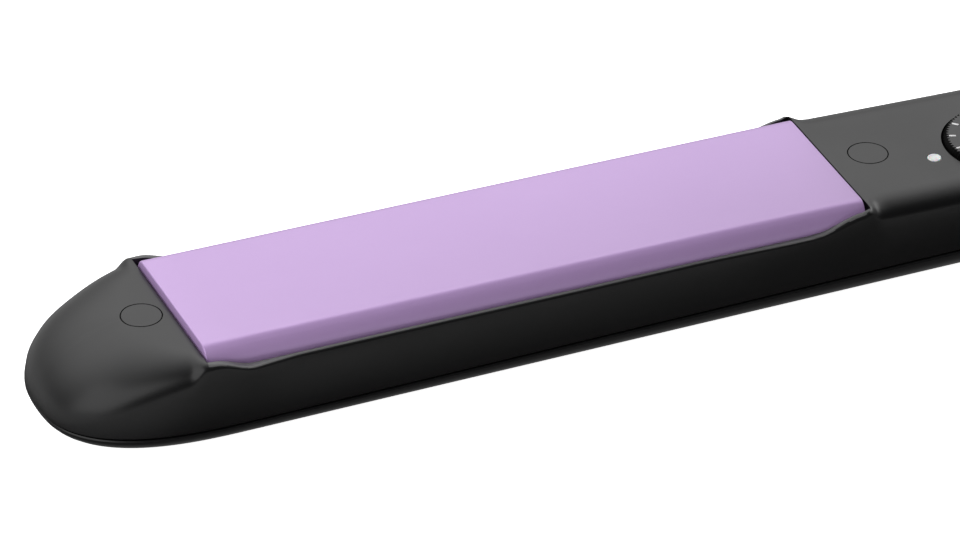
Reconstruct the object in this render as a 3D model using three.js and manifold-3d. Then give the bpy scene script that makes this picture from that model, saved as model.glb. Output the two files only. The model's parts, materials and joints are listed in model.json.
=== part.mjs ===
// Flat iron (hair straightener) with two sprung arms, floating heater plates, a rotary
// temperature dial and a swivelling cord.  Millimetres, +Z up.
//
// Frame: the table is z = 0 and carries the flat underside of the lower arm.  The hinge
// axis crosses x = 0 and runs along y.  The nose points to -x and the cord leaves at +x.
// Both arms are designed in the lower arm's place.  The upper arm is the same design,
// turned half a turn about the length axis at hinge height, then swung open.
import * as THREE from 'three';
import { mergeVertices } from 'three/addons/utils/BufferGeometryUtils.js';
import Module from 'manifold-3d';

const wasm = await Module();
wasm.setup();

// ---------------------------------------------------------------- driving dimensions
const PLATE_LENGTH = 110;
const PLATE_HALF_WIDTH = 14.7;
const PLATE_EDGE_RADIUS = 2.7;
const PLATE_CENTRE_X = -175;
const PLATE_TOP_Z = 17.5;
const PLATE_UNDERSIDE_Z = 15.3;
const PLATE_FRONT_X = PLATE_CENTRE_X - PLATE_LENGTH / 2;
const PLATE_REAR_X = PLATE_CENTRE_X + PLATE_LENGTH / 2;

const CLOSED_HALF_GAP = 0.1;
const HINGE_Z = PLATE_TOP_Z + CLOSED_HALF_GAP;
const OPEN_ANGLE = THREE.MathUtils.degToRad(24);

const WALL = 1.8;
const SEAM_GAP = 0.3;
const CLEARANCE = 0.3;

// Plan outline of an arm: a superelliptic nose, gently tapering sides, a blunt tail.
const NOSE_WIDE_X = -225.2;
const NOSE_LENGTH = 26.9;
const NOSE_POWER = 2.58;
const NOSE_HALF_WIDTH = 17.63;
const SIDE_TAPER = 0.0131;
const TAIL_POWER = 4;
const LOWER_TAIL = { start: 8, end: 24 };
const UPPER_TAIL = { start: -22, end: -10 };

// Heights and edge rounding of the plate-side shell.
const SEAM_Z_AT_FRONT = 5.23;
const SEAM_RISE = 0.0089;
const NOSE_TOP_Z = 16.4;
const HANDLE_TOP_Z = 17.15;
const HANDLE_DIP = 1.85;
const HANDLE_DIP_LENGTH = 130;
const SIDE_BULGE_RADIUS = 36;
const EDGE_WIDTH = 4.3;
const EDGE_DROP = 2.7;
const LIP_EDGE = 1.0;
const NOSE_EDGE_WIDTH = 14.9;
const NOSE_EDGE_BLEND = 1.52;
const NOSE_EDGE_POWER = 1.228;
const COVER_FLAT_HALF_WIDTH = 5.8;
const RIM_Z = 14.4;

// Fastener columns, dial and lamp, on the lower arm's inner face.
const FRONT_PLUG_X = PLATE_CENTRE_X - 59.9;
const REAR_PLUG_X = PLATE_CENTRE_X + 62.2;
const PLUG_RADIUS = 3.2;
const PLUG_DEPTH = 2.2;
const PLUG_SINK = 0.1;
const FRONT_PLUG_LEAN = -0.03;
const REAR_PLUG_LEAN = 0.022;
const DIAL_X = -90.6;
const DIAL_Y = -4.1;
const DIAL_RADIUS = 10.1;
const DIAL_TOP_Z = 17.5;
const DIAL_BASE_Z = 13.2;
const LAMP_X = -103.6;
const LAMP_Y = -4.9;
const LAMP_RADIUS = 1.12;

// Hinge and swivel.
const KNUCKLE_RADIUS = 8.4;
const BARREL_HALF_WIDTH = 6.9;
const EAR_INNER_Y = 7.3;
const EAR_OUTER_Y = 13.6;
const PIN_RADIUS = 2;
const SPRING_COIL_RADIUS = 4.6;
const SPRING_WIRE_RADIUS = 0.55;
const SWIVEL_Z = 7.6;
const SWIVEL_NECK_RADIUS = 4.4;
const CORD_RADIUS = 3;
const BOOT_END_X = 64;

// ---------------------------------------------------------------- materials
const PAINT = {
  satinBlack: { color: 0x161617, roughness: 0.42, metalness: 0 },
  innerBlack: { color: 0x1c1c1d, roughness: 0.6, metalness: 0 },
  lilacCeramic: { color: 0xc9a6dd, roughness: 0.3, metalness: 0.2 },
  heatResin: { color: 0x2b2724, roughness: 0.75, metalness: 0 },
  ceramic: { color: 0xe8e2d4, roughness: 0.8, metalness: 0 },
  steel: { color: 0xb4b6ba, roughness: 0.35, metalness: 1 },
  brass: { color: 0xc9a55a, roughness: 0.35, metalness: 1 },
  silicone: { color: 0xc8553a, roughness: 0.7, metalness: 0 },
  board: { color: 0x1f5a34, roughness: 0.55, metalness: 0 },
  dialGrey: { color: 0x3a3b3d, roughness: 0.5, metalness: 0 },
  lampWhite: { color: 0xf4f4f2, roughness: 0.3, metalness: 0 },
  cordBlack: { color: 0x121213, roughness: 0.55, metalness: 0 },
};

function piece(name, geometry, paint) {
  const mesh = new THREE.Mesh(geometry, new THREE.MeshStandardMaterial(PAINT[paint]));
  mesh.name = name;
  return mesh;
}

// ---------------------------------------------------------------- solid helpers
function toSolid(geometry) {
  const bare = geometry.clone();
  bare.deleteAttribute('normal');
  bare.deleteAttribute('uv');
  const merged = mergeVertices(bare, 1e-5);
  const vertProperties = new Float32Array(merged.attributes.position.array);
  const triVerts = new Uint32Array(merged.index.array);
  return new wasm.Manifold(new wasm.Mesh({ numProp: 3, vertProperties, triVerts }));
}

function toGeometry(solid) {
  const mesh = solid.getMesh();
  const geometry = new THREE.BufferGeometry();
  geometry.setAttribute('position', new THREE.BufferAttribute(mesh.vertProperties, 3));
  geometry.setIndex(new THREE.BufferAttribute(mesh.triVerts, 1));
  geometry.computeVertexNormals();
  return geometry;
}

function boxBetween(low, high) {
  const size = high.map((value, axis) => value - low[axis]);
  const centre = high.map((value, axis) => (value + low[axis]) / 2);
  return new THREE.BoxGeometry(...size).translate(...centre);
}

// A cylinder along one axis, from one coordinate to another, centred on (u, v) of the
// two other axes in x, y, z order.
function cylinderAlong(axis, from, to, u, v, radius, segments = 20) {
  const geometry = new THREE.CylinderGeometry(radius, radius, to - from, segments);
  const middle = (from + to) / 2;
  if (axis === 'x') return geometry.rotateZ(-Math.PI / 2).translate(middle, u, v);
  if (axis === 'z') return geometry.rotateX(Math.PI / 2).translate(u, v, middle);
  return geometry.translate(u, middle, v);
}

// A turned part: [radius, height] points, spun about +z.
function turned(points, segments = 28) {
  const profile = points.map(([radius, height]) => new THREE.Vector2(radius, height));
  return new THREE.LatheGeometry(profile, segments).rotateX(Math.PI / 2);
}

// A closed outline of [u, v] points as a three.js shape.
function outline(points) {
  return new THREE.Shape(points.map(([u, v]) => new THREE.Vector2(u, v)));
}

// A shape drawn in the x-z plane, given thickness along y from -halfWidth to halfWidth.
function sideProfile(shape, halfWidth) {
  const options = { depth: 2 * halfWidth, bevelEnabled: false, curveSegments: 8 };
  const geometry = new THREE.ExtrudeGeometry(shape, options);
  return geometry.rotateX(Math.PI / 2).translate(0, halfWidth, 0);
}

// A shape drawn in the y-z plane, given length along x.
function crossSection(shape, fromX, toX, curveSegments = 5) {
  const options = { depth: toX - fromX, bevelEnabled: false, curveSegments };
  const geometry = new THREE.ExtrudeGeometry(shape, options);
  return geometry.rotateX(Math.PI / 2).rotateZ(Math.PI / 2).translate(fromX, 0, 0);
}

function alongCurve(curve, shape, steps) {
  return new THREE.ExtrudeGeometry(shape, { extrudePath: curve, steps, curveSegments: 2 });
}

function regularPolygon(radius, sides) {
  const corners = [];
  for (let i = 0; i < sides; i += 1) {
    const angle = (2 * Math.PI * i) / sides;
    corners.push([radius * Math.cos(angle), radius * Math.sin(angle)]);
  }
  return outline(corners);
}

function smoothStep(x, from, to) {
  return THREE.MathUtils.smoothstep(x, from, to);
}

// ---------------------------------------------------------------- shape of an arm
function halfWidthAt(x) {
  return NOSE_HALF_WIDTH - SIDE_TAPER * Math.max(0, x - NOSE_WIDE_X);
}

function seamZ(x) {
  return SEAM_Z_AT_FRONT + SEAM_RISE * (x - PLATE_CENTRE_X + 45);
}

// The inner face is level on the nose, a little higher behind the plate, then dips
// towards the hinge.
function innerFaceZ(x) {
  if (x < PLATE_CENTRE_X) return NOSE_TOP_Z;
  const along = THREE.MathUtils.clamp((x - PLATE_REAR_X) / HANDLE_DIP_LENGTH, 0, 1);
  return HANDLE_TOP_Z - HANDLE_DIP * Math.sin((Math.PI / 2) * along);
}

// How softly the long edges are rounded: sharp lips beside the plate, soft elsewhere.
function edgeSoftness(x) {
  const nose = 1 - smoothStep(x, PLATE_FRONT_X - 3.6, PLATE_FRONT_X - 0.9);
  const handle = smoothStep(x, PLATE_REAR_X + 0.2, PLATE_REAR_X + 2.8);
  return Math.max(nose, handle);
}

// Stations along one side of the plan outline, from the nose tip to the tail's middle.
function armStations(tail) {
  const stations = [];
  const noseSteps = 10;
  for (let i = 0; i < noseSteps; i += 1) {
    const angle = (Math.PI / 2) * (1 - i / noseSteps);
    stations.push({
      zone: 'nose',
      along: Math.sin(angle) ** (2 / NOSE_POWER),
      across: i === 0 ? 0 : Math.cos(angle) ** (2 / NOSE_POWER),
      tip: Math.sin(angle) ** NOSE_EDGE_BLEND,
    });
  }
  const rear = PLATE_REAR_X;
  const places = [NOSE_WIDE_X, PLATE_CENTRE_X, rear, rear + 1.5, rear + 3, rear + 20];
  for (let x = rear + 40; x < tail.start - 12; x += 20) places.push(x);
  places.push(tail.start);
  for (const x of places) stations.push({ zone: 'side', x, across: 1, tip: 0 });
  const tailSteps = 5;
  for (let i = 1; i <= tailSteps; i += 1) {
    const angle = ((Math.PI / 2) * i) / tailSteps;
    stations.push({
      zone: 'tail',
      tail,
      along: Math.sin(angle) ** (2 / TAIL_POWER),
      across: i === tailSteps ? 0 : Math.cos(angle) ** (2 / TAIL_POWER),
      tip: 0,
    });
  }
  return stations;
}

// A station's place in plan, moved inwards from the outline by an inset.
function planPoint(station, inset) {
  if (station.zone === 'nose') {
    const x = NOSE_WIDE_X - (NOSE_LENGTH - inset) * station.along;
    return [x, (NOSE_HALF_WIDTH - inset) * station.across];
  }
  if (station.zone === 'side') return [station.x, halfWidthAt(station.x) - inset];
  const { start, end } = station.tail;
  const x = start + (end - start - inset) * station.along;
  return [x, (halfWidthAt(start) - inset) * station.across];
}

// A ring of points round the arm: one per station on the near side, mirrored back.
function ring(stations, place) {
  const near = stations.map((station) => {
    const [x, y, z] = place(station);
    return [x, -y, z];
  });
  const far = near.slice(1, -1).reverse().map(([x, y, z]) => [x, -y, z]);
  return near.concat(far);
}

// Closes a stack of rings, lowest first.  Both ends are closed by straight rungs between
// mirrored points.
function stackRings(rings) {
  const count = rings[0].length;
  const half = count / 2;
  const index = [];
  const rung = (offset, upward) => {
    for (let i = 0; i < half; i += 1) {
      const a = offset + i;
      const b = offset + i + 1;
      const c = offset + ((count - i - 1) % count);
      const d = offset + ((count - i) % count);
      const faces = [[a, b, c], [a, c, d]];
      for (const [p, q, r] of faces) {
        const flat = p === q || q === r || p === r;
        if (!flat) index.push(...(upward ? [p, q, r] : [p, r, q]));
      }
    }
  };
  for (let level = 0; level + 1 < rings.length; level += 1) {
    for (let i = 0; i < count; i += 1) {
      const a = level * count + i;
      const b = level * count + ((i + 1) % count);
      index.push(a, b, b + count, a, b + count, a + count);
    }
  }
  rung(0, false);
  rung((rings.length - 1) * count, true);
  const geometry = new THREE.BufferGeometry();
  const positions = new Float32Array(rings.flat(2));
  geometry.setAttribute('position', new THREE.BufferAttribute(positions, 3));
  geometry.setIndex(index);
  return geometry;
}

// The plate-side shell's outer form, or with a shrink its inner form, starting at the
// seam (the inner form a little below it) and closing over the inner face.
function plateSideForm(tail, shrink) {
  const stations = armStations(tail);
  const level = (straightShare, edgeAngle) => (station) => {
    const [seamX] = planPoint(station, 0);
    const soft = edgeSoftness(seamX);
    const sideWidth = THREE.MathUtils.lerp(LIP_EDGE, EDGE_WIDTH, soft);
    const sideDrop = THREE.MathUtils.lerp(LIP_EDGE, EDGE_DROP, soft);
    const start = seamZ(seamX);
    const [topX] = planPoint(station, THREE.MathUtils.lerp(sideWidth, NOSE_EDGE_WIDTH, station.tip));
    const height = innerFaceZ(topX) - shrink - start;
    const width = THREE.MathUtils.lerp(sideWidth, NOSE_EDGE_WIDTH - 2 * shrink, station.tip);
    const drop = THREE.MathUtils.lerp(sideDrop, height, station.tip);
    const rise = straightShare * (height - drop) + drop * Math.sin(edgeAngle);
    const lean = (station.across * rise ** 2) / (2 * SIDE_BULGE_RADIUS);
    const power = THREE.MathUtils.lerp(1, NOSE_EDGE_POWER, station.tip);
    const inset = shrink + lean + width * (1 - Math.max(0, Math.cos(edgeAngle)) ** power);
    const belowSeam = straightShare === 0 ? Math.min(1, shrink) : 0;
    return [...planPoint(station, inset), start + rise - belowSeam];
  };
  const levels = [level(0, 0), level(1, 0)];
  if (shrink === 0) levels.splice(1, 0, level(0.5, 0));
  const edgeAngles = shrink === 0 ? [30, 60, 90] : [45, 90];
  for (const degrees of edgeAngles) {
    levels.push(level(1, THREE.MathUtils.degToRad(degrees)));
  }
  return toSolid(stackRings(levels.map((place) => ring(stations, place))));
}

// The underside cover's outer form, or with a shrink its inner form, from the flat
// bottom up to the seam.
function coverForm(tail, shrink) {
  const stations = armStations(tail);
  const level = (degrees) => (station) => {
    const angle = THREE.MathUtils.degToRad(degrees);
    const [seamX] = planPoint(station, 0);
    const seam = seamZ(seamX);
    const curve = halfWidthAt(seamX) - COVER_FLAT_HALF_WIDTH - shrink * 0.5;
    const inset = shrink + curve * (1 - Math.cos(angle));
    const z = seam - (seam - shrink) * Math.sin(angle);
    return [...planPoint(station, inset), degrees === 0 ? seam - (shrink ? 0 : SEAM_GAP) : z];
  };
  const levels = shrink === 0 ? [90, 68, 45, 22, 0] : [90, 50, 20, 0];
  return toSolid(stackRings(levels.map((degrees) => ring(stations, level(degrees)))));
}

// Cuts the plate's tray: an opening for the plate, and side walls lowered between
// S-curved lips at the four corners.
function trayCut(solid) {
  const opening = boxBetween(
    [PLATE_FRONT_X - 0.4, -PLATE_HALF_WIDTH - 0.35, -1],
    [PLATE_REAR_X + 0.4, PLATE_HALF_WIDTH + 0.35, 20],
  );
  const front = PLATE_FRONT_X;
  const rear = PLATE_REAR_X;
  const above = 20;
  const shape = new THREE.Shape();
  shape.moveTo(front + 0.6, above);
  shape.lineTo(front + 0.6, NOSE_TOP_Z - 0.3);
  shape.bezierCurveTo(front + 4, NOSE_TOP_Z - 0.3, front + 2.5, RIM_Z, front + 6.5, RIM_Z);
  shape.lineTo(rear - 6.5, RIM_Z);
  shape.bezierCurveTo(rear - 2.5, RIM_Z, rear - 4, HANDLE_TOP_Z - 0.4, rear - 0.6, HANDLE_TOP_Z - 0.4);
  shape.lineTo(rear - 0.6, above);
  return solid.subtract(toSolid(opening)).subtract(toSolid(sideProfile(shape, 25)));
}

// ---------------------------------------------------------------- shells
const PLUG_PLACES = [FRONT_PLUG_X, REAR_PLUG_X];
const SCREW_HEAD_Z = 9.4;
const SCREW_HEAD_RADIUS = 2.4;
const BOSS_BOTTOM_Z = 8;
const POST_RADIUS = 3;

function shellWithBosses(tail) {
  const outer = plateSideForm(tail, 0);
  let shell = outer.subtract(plateSideForm(tail, WALL).add(toSolid(boxBetween(
    [PLATE_FRONT_X, -13, 5],
    [PLATE_REAR_X, 13, 12],
  ))));
  for (const x of PLUG_PLACES) {
    const boss = toSolid(cylinderAlong('z', BOSS_BOTTOM_Z, 20, x, 0, PLUG_RADIUS + 1.5));
    shell = shell.add(boss.intersect(outer));
  }
  shell = trayCut(shell);
  for (const x of PLUG_PLACES) {
    const bore = cylinderAlong('z', SCREW_HEAD_Z - CLEARANCE, 25, x, 0, PLUG_RADIUS + 0.25);
    const hole = cylinderAlong('z', 0, 20, x, 0, 1.6, 16);
    shell = shell.subtract(toSolid(bore)).subtract(toSolid(hole));
  }
  return { shell, outer };
}

function knuckle(fromY, toY) {
  return toSolid(cylinderAlong('y', fromY, toY, 0, HINGE_Z, KNUCKLE_RADIUS, 32));
}

function pinBore() {
  return toSolid(cylinderAlong('y', -20, 20, 0, HINGE_Z, PIN_RADIUS + 0.25, 20));
}

// The tongue's swept room: a sector of the ear round the pin, at one side.
function latchGroove(side) {
  const low = side > 0 ? 7.2 : -9.9;
  const room = toSolid(boxBetween([-9.5, low, HINGE_Z - 0.6], [0, low + 2.7, 30]));
  return room.subtract(toSolid(cylinderAlong('y', -20, 20, 0, HINGE_Z, 5.2, 24)));
}

function swivelPocket() {
  const neck = toSolid(cylinderAlong('x', 15, 30, 0, SWIVEL_Z, SWIVEL_NECK_RADIUS + CLEARANCE));
  return neck.add(toSolid(cylinderAlong('x', 14, 18.6, 0, SWIVEL_Z, 5.9)));
}

function lowerInnerHousing() {
  const { shell, outer } = shellWithBosses(LOWER_TAIL);
  const troughBlock = toSolid(boxBetween([-11, -12.6, 8], [10.4, 12.6, 15.2])).intersect(outer);
  const tailBlock = toSolid(boxBetween([18.8, -9, 0], [26, 9, 20])).intersect(outer);
  let solid = shell.add(troughBlock).add(tailBlock);
  for (const side of [-1, 1]) {
    const from = side > 0 ? EAR_INNER_Y : -EAR_OUTER_Y;
    const to = from + EAR_OUTER_Y - EAR_INNER_Y;
    const cheek = toSolid(boxBetween([-KNUCKLE_RADIUS, from, 9], [KNUCKLE_RADIUS, to, HINGE_Z]));
    solid = solid.add(knuckle(from, to)).add(cheek);
  }
  const barrelRoom = cylinderAlong('y', -EAR_INNER_Y, EAR_INNER_Y, 0, HINGE_Z, KNUCKLE_RADIUS + 0.5, 32);
  solid = solid.subtract(toSolid(barrelRoom)).subtract(pinBore());
  solid = solid.subtract(latchGroove(1)).subtract(latchGroove(-1)).subtract(swivelPocket());
  const springLegSlot = boxBetween([-16, -3.6, 11.6], [-5, -1.6, 14.2]);
  solid = solid.subtract(toSolid(springLegSlot));
  const dialHole = cylinderAlong('z', DIAL_BASE_Z - 0.4, 25, DIAL_X, DIAL_Y, DIAL_RADIUS + 0.35, 36);
  const lampHole = cylinderAlong('z', 10, 25, LAMP_X, LAMP_Y, LAMP_RADIUS + 0.2, 20);
  return toGeometry(solid.subtract(toSolid(dialHole)).subtract(toSolid(lampHole)));
}

function upperInnerHousing() {
  const { shell, outer } = shellWithBosses(UPPER_TAIL);
  const neck = toSolid(boxBetween([-13.5, -BARREL_HALF_WIDTH, 9.6], [0, BARREL_HALF_WIDTH, 15]));
  const endBlock = toSolid(boxBetween([-12.8, -7.5, 4], [-8, 7.5, 20])).intersect(outer);
  let solid = shell.add(endBlock).add(knuckle(-BARREL_HALF_WIDTH, BARREL_HALF_WIDTH)).add(neck);
  const springRoom = cylinderAlong('y', -3.7, 3.7, 0, HINGE_Z, 6.2, 28);
  const springDoor = boxBetween([-17, -3.7, 10.6], [0, 3.7, 14.4]);
  const legDoor = boxBetween([-12, -3.7, 14], [0, 3.7, HINGE_Z + 9]);
  solid = solid.subtract(toSolid(springRoom)).subtract(toSolid(springDoor));
  solid = solid.subtract(toSolid(legDoor)).subtract(pinBore());
  for (const low of [-9.9, 7.5]) {
    const tongueHole = boxBetween([-19, low, 10.5], [-8, low + 2.4, 12.9]);
    solid = solid.subtract(toSolid(tongueHole));
  }
  return toGeometry(solid);
}

function coverWithPosts(tail) {
  const outer = coverForm(tail, 0);
  let cover = outer.subtract(coverForm(tail, WALL));
  for (const x of PLUG_PLACES) {
    const post = toSolid(cylinderAlong('z', 0.9, BOSS_BOTTOM_Z - CLEARANCE, x, 0, POST_RADIUS, 20));
    const pilot = toSolid(cylinderAlong('z', 2.2, 12, x, 0, 1.5, 14));
    cover = cover.add(post).subtract(pilot);
  }
  return { cover, outer };
}

function lowerOuterCover() {
  const { cover, outer } = coverWithPosts(LOWER_TAIL);
  const tailBlock = toSolid(boxBetween([18.8, -9, 0], [26, 9, 20])).intersect(outer);
  let solid = cover.add(tailBlock).subtract(swivelPocket());
  for (const x of [-105, -65]) {
    solid = solid.add(toSolid(boxBetween([x - 1, -4, 1], [x + 1, 4, 3.7])));
  }
  return toGeometry(solid);
}

const LOCK_SLOT = { from: -36, to: -26, halfWidth: 1.7 };

function upperOuterCover() {
  const { cover } = coverWithPosts(UPPER_TAIL);
  const slot = boxBetween(
    [LOCK_SLOT.from, -LOCK_SLOT.halfWidth, -1],
    [LOCK_SLOT.to, LOCK_SLOT.halfWidth, WALL + 1],
  );
  return toGeometry(cover.subtract(toSolid(slot)));
}

// ---------------------------------------------------------------- heater plate unit
const RAIL_INNER_Y = 8.6;
const RAIL_OUTER_Y = 9.8;
const RAIL_BOTTOM_Z = 11.2;
const LIP_BOTTOM_Z = 12.3;
const LIP_INNER_Y = 12.8;

function heaterPlate() {
  const shape = new THREE.Shape();
  const side = PLATE_HALF_WIDTH;
  const flat = side - PLATE_EDGE_RADIUS;
  const shoulder = PLATE_TOP_Z - PLATE_EDGE_RADIUS;
  shape.moveTo(-flat, PLATE_TOP_Z);
  shape.absarc(-flat, shoulder, PLATE_EDGE_RADIUS, Math.PI / 2, Math.PI, false);
  shape.lineTo(-side, LIP_BOTTOM_Z);
  shape.lineTo(-LIP_INNER_Y, LIP_BOTTOM_Z);
  shape.lineTo(-LIP_INNER_Y, PLATE_UNDERSIDE_Z);
  for (const y of [-1, 1]) {
    const first = y < 0 ? -RAIL_OUTER_Y : RAIL_INNER_Y;
    const second = y < 0 ? -RAIL_INNER_Y : RAIL_OUTER_Y;
    shape.lineTo(first, PLATE_UNDERSIDE_Z);
    shape.lineTo(first, RAIL_BOTTOM_Z);
    shape.lineTo(second, RAIL_BOTTOM_Z);
    shape.lineTo(second, PLATE_UNDERSIDE_Z);
  }
  shape.lineTo(LIP_INNER_Y, PLATE_UNDERSIDE_Z);
  shape.lineTo(LIP_INNER_Y, LIP_BOTTOM_Z);
  shape.lineTo(side, LIP_BOTTOM_Z);
  shape.lineTo(side, shoulder);
  shape.absarc(flat, shoulder, PLATE_EDGE_RADIUS, 0, Math.PI / 2, false);
  return crossSection(shape, PLATE_FRONT_X, PLATE_REAR_X);
}

function heaterElement() {
  const half = 34;
  return boxBetween(
    [PLATE_CENTRE_X - half, -RAIL_INNER_Y + 0.6, 11.9],
    [PLATE_CENTRE_X + half, RAIL_INNER_Y - 0.6, PLATE_UNDERSIDE_Z - CLEARANCE],
  );
}

// A pressed steel bar with turned-up ends that holds the element against the plate.
function heaterClip() {
  const half = 36;
  const shape = outline([
    [PLATE_CENTRE_X - half, 10.6],
    [PLATE_CENTRE_X + half, 10.6],
    [PLATE_CENTRE_X + half, 14.9],
    [PLATE_CENTRE_X + half - 1, 14.9],
    [PLATE_CENTRE_X + half - 1, 11.5],
    [PLATE_CENTRE_X - half + 1, 11.5],
    [PLATE_CENTRE_X - half + 1, 14.9],
    [PLATE_CENTRE_X - half, 14.9],
  ]);
  return sideProfile(shape, RAIL_INNER_Y - 0.4);
}

const PAD_PLACES = [PLATE_CENTRE_X - 45, PLATE_CENTRE_X + 45];
const CARRIER_TOP_Z = 8.4;

// A slab under the plate with a long window under the element and an end wall beyond
// each pad.
function plateCarrier() {
  const front = PLATE_FRONT_X + 1;
  const rear = PLATE_REAR_X - 1;
  const slab = toSolid(boxBetween([front, -14.4, 6.9], [rear, 14.4, CARRIER_TOP_Z]));
  const window = toSolid(boxBetween([PLATE_CENTRE_X - 34, -6, 0], [PLATE_CENTRE_X + 34, 6, 20]));
  let solid = slab.subtract(window);
  for (const x of PAD_PLACES) {
    const seat = turned([[0, 0], [5.2, 0], [5.2, 1.6], [4.4, 1.6], [4.4, 0.6], [0, 0.6]], 16);
    solid = solid.add(toSolid(seat.translate(x, 0, CARRIER_TOP_Z - 0.6)));
  }
  for (const side of [-1, 1]) {
    const wall = boxBetween([front, 0, 7], [rear, 1.2, 11]);
    solid = solid.add(toSolid(wall.translate(0, side * 13.8 - 0.6, 0)));
  }
  return toGeometry(solid);
}

function floatPad(x) {
  const bottom = CARRIER_TOP_Z + 0.3;
  const top = PLATE_UNDERSIDE_Z - 0.1;
  const middle = (bottom + top) / 2;
  return turned([[0, bottom], [3.9, bottom], [3.4, middle], [3.9, top], [0, top]], 16).translate(x, 0, 0);
}

function thermalFuse() {
  return cylinderAlong('x', PLATE_CENTRE_X - 8, PLATE_CENTRE_X + 8, 11.3, 13.7, 1.2, 14);
}

function temperatureSensor() {
  return cylinderAlong('x', PLATE_CENTRE_X + 18, PLATE_CENTRE_X + 25, -11.3, 13.7, 1.1, 14);
}

// ---------------------------------------------------------------- fasteners
// A push-in plug whose face leans with the shell's surface round its bore.
function screwPlug(x, lean) {
  const edge = 0.15;
  const profile = [[0, -PLUG_DEPTH], [PLUG_RADIUS, -PLUG_DEPTH], [PLUG_RADIUS, -edge]];
  profile.push([PLUG_RADIUS - edge, 0], [0, 0]);
  return turned(profile, 32).rotateY(lean).translate(x, 0, innerFaceZ(x) - PLUG_SINK);
}

function shellScrew(x) {
  const tip = 2.8;
  const points = [[0, tip], [1.2, tip + 1], [1.2, SCREW_HEAD_Z], [SCREW_HEAD_RADIUS, SCREW_HEAD_Z]];
  points.push([SCREW_HEAD_RADIUS, SCREW_HEAD_Z + 1], [1.4, SCREW_HEAD_Z + 1.8]);
  points.push([1.1, SCREW_HEAD_Z + 0.9], [0, SCREW_HEAD_Z + 0.9]);
  return turned(points, 12).translate(x, 0, 0);
}

// ---------------------------------------------------------------- dial and electronics
const BOARD_TOP_Z = 5.6;
const SHAFT_TOP_Z = 15.4;
const SHAFT_RADIUS = 1.9;

function dialKnob() {
  const base = DIAL_RADIUS;
  const crown = DIAL_RADIUS - 0.6;
  const bore = SHAFT_RADIUS + 0.2;
  const profile = [[0, SHAFT_TOP_Z + 0.2], [bore, SHAFT_TOP_Z + 0.2], [bore, DIAL_BASE_Z]];
  profile.push([base, DIAL_BASE_Z], [base, DIAL_TOP_Z - 1], [crown, DIAL_TOP_Z], [0, DIAL_TOP_Z]);
  return turned(profile, 36).translate(DIAL_X, DIAL_Y, 0);
}

function potentiometer() {
  return boxBetween([DIAL_X - 5.5, DIAL_Y - 5.5, BOARD_TOP_Z + 0.1], [DIAL_X + 5.5, DIAL_Y + 5.5, 10.4]);
}

function potentiometerShaft() {
  return cylinderAlong('z', 10.7, SHAFT_TOP_Z, DIAL_X, DIAL_Y, SHAFT_RADIUS, 20);
}

function controlBoard() {
  return boxBetween([-108, -9.8, 4], [-62, 9.8, BOARD_TOP_Z]);
}

function statusLamp() {
  const bottom = BOARD_TOP_Z + 0.1;
  const profile = [[0, bottom], [1.7, bottom], [1.7, bottom + 0.8], [1.4, bottom + 0.8]];
  profile.push([1.4, bottom + 2.6], [0.9, bottom + 3.5], [0, bottom + 3.7]);
  return turned(profile, 16).translate(LAMP_X, LAMP_Y, 0);
}

function lampLens() {
  const faceZ = innerFaceZ(LAMP_X);
  return cylinderAlong('z', BOARD_TOP_Z + 4.2, faceZ, LAMP_X, LAMP_Y, LAMP_RADIUS, 20);
}

function lead(points) {
  const curve = new THREE.CatmullRomCurve3(points.map(([x, y, z]) => new THREE.Vector3(x, y, z)));
  return alongCurve(curve, regularPolygon(1.1, 6), 4 * points.length);
}

// ---------------------------------------------------------------- hinge hardware
function hingePin() {
  const profile = [[0, -14.4], [PIN_RADIUS, -14.4], [PIN_RADIUS, 13.9], [3.6, 13.9]];
  profile.push([3.6, 14.4], [2.6, 15], [0, 15]);
  return turned(profile, 16).rotateX(-Math.PI / 2).translate(0, 0, HINGE_Z);
}

function pinCap() {
  const inner = PIN_RADIUS + 0.2;
  const profile = [[0, 14.7], [inner, 14.7], [inner, 13.9], [3.6, 13.9], [3.6, 14.4], [2.6, 15], [0, 15]];
  return turned(profile, 16).rotateX(Math.PI / 2).translate(0, 0, HINGE_Z);
}

// One length of wire: a leg into the lower arm, coils round the pin, a leg into the
// upper arm.
class HingeSpringCurve extends THREE.Curve {
  constructor() {
    super();
    this.turns = 3.5 - OPEN_ANGLE / (2 * Math.PI);
    this.halfWidth = 2.6;
    this.legLength = 12;
    this.coilLength = 2 * Math.PI * SPRING_COIL_RADIUS * this.turns;
  }

  // The wire leaves the coil's lowest point towards -x in the lower arm.
  onCoil(share) {
    const angle = -Math.PI / 2 + share * this.turns * 2 * Math.PI;
    const y = THREE.MathUtils.lerp(-this.halfWidth, this.halfWidth, share);
    const x = SPRING_COIL_RADIUS * Math.cos(angle);
    return new THREE.Vector3(x, y, HINGE_Z + SPRING_COIL_RADIUS * Math.sin(angle));
  }

  getPoint(t, target = new THREE.Vector3()) {
    const total = this.coilLength + 2 * this.legLength;
    const place = t * total;
    if (place < this.legLength) {
      return target.copy(this.onCoil(0)).add(new THREE.Vector3(place - this.legLength, 0, 0));
    }
    if (place > total - this.legLength) {
      const beyond = place - (total - this.legLength);
      const ahead = new THREE.Vector3(-Math.cos(OPEN_ANGLE), 0, Math.sin(OPEN_ANGLE));
      return target.copy(this.onCoil(1)).add(ahead.multiplyScalar(beyond));
    }
    return target.copy(this.onCoil((place - this.legLength) / this.coilLength));
  }
}

function hingeSpring() {
  return alongCurve(new HingeSpringCurve(), regularPolygon(SPRING_WIRE_RADIUS, 5), 72);
}

// ---------------------------------------------------------------- plate lock
const LOCK_PLATE_Z = WALL + 0.5;

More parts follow.
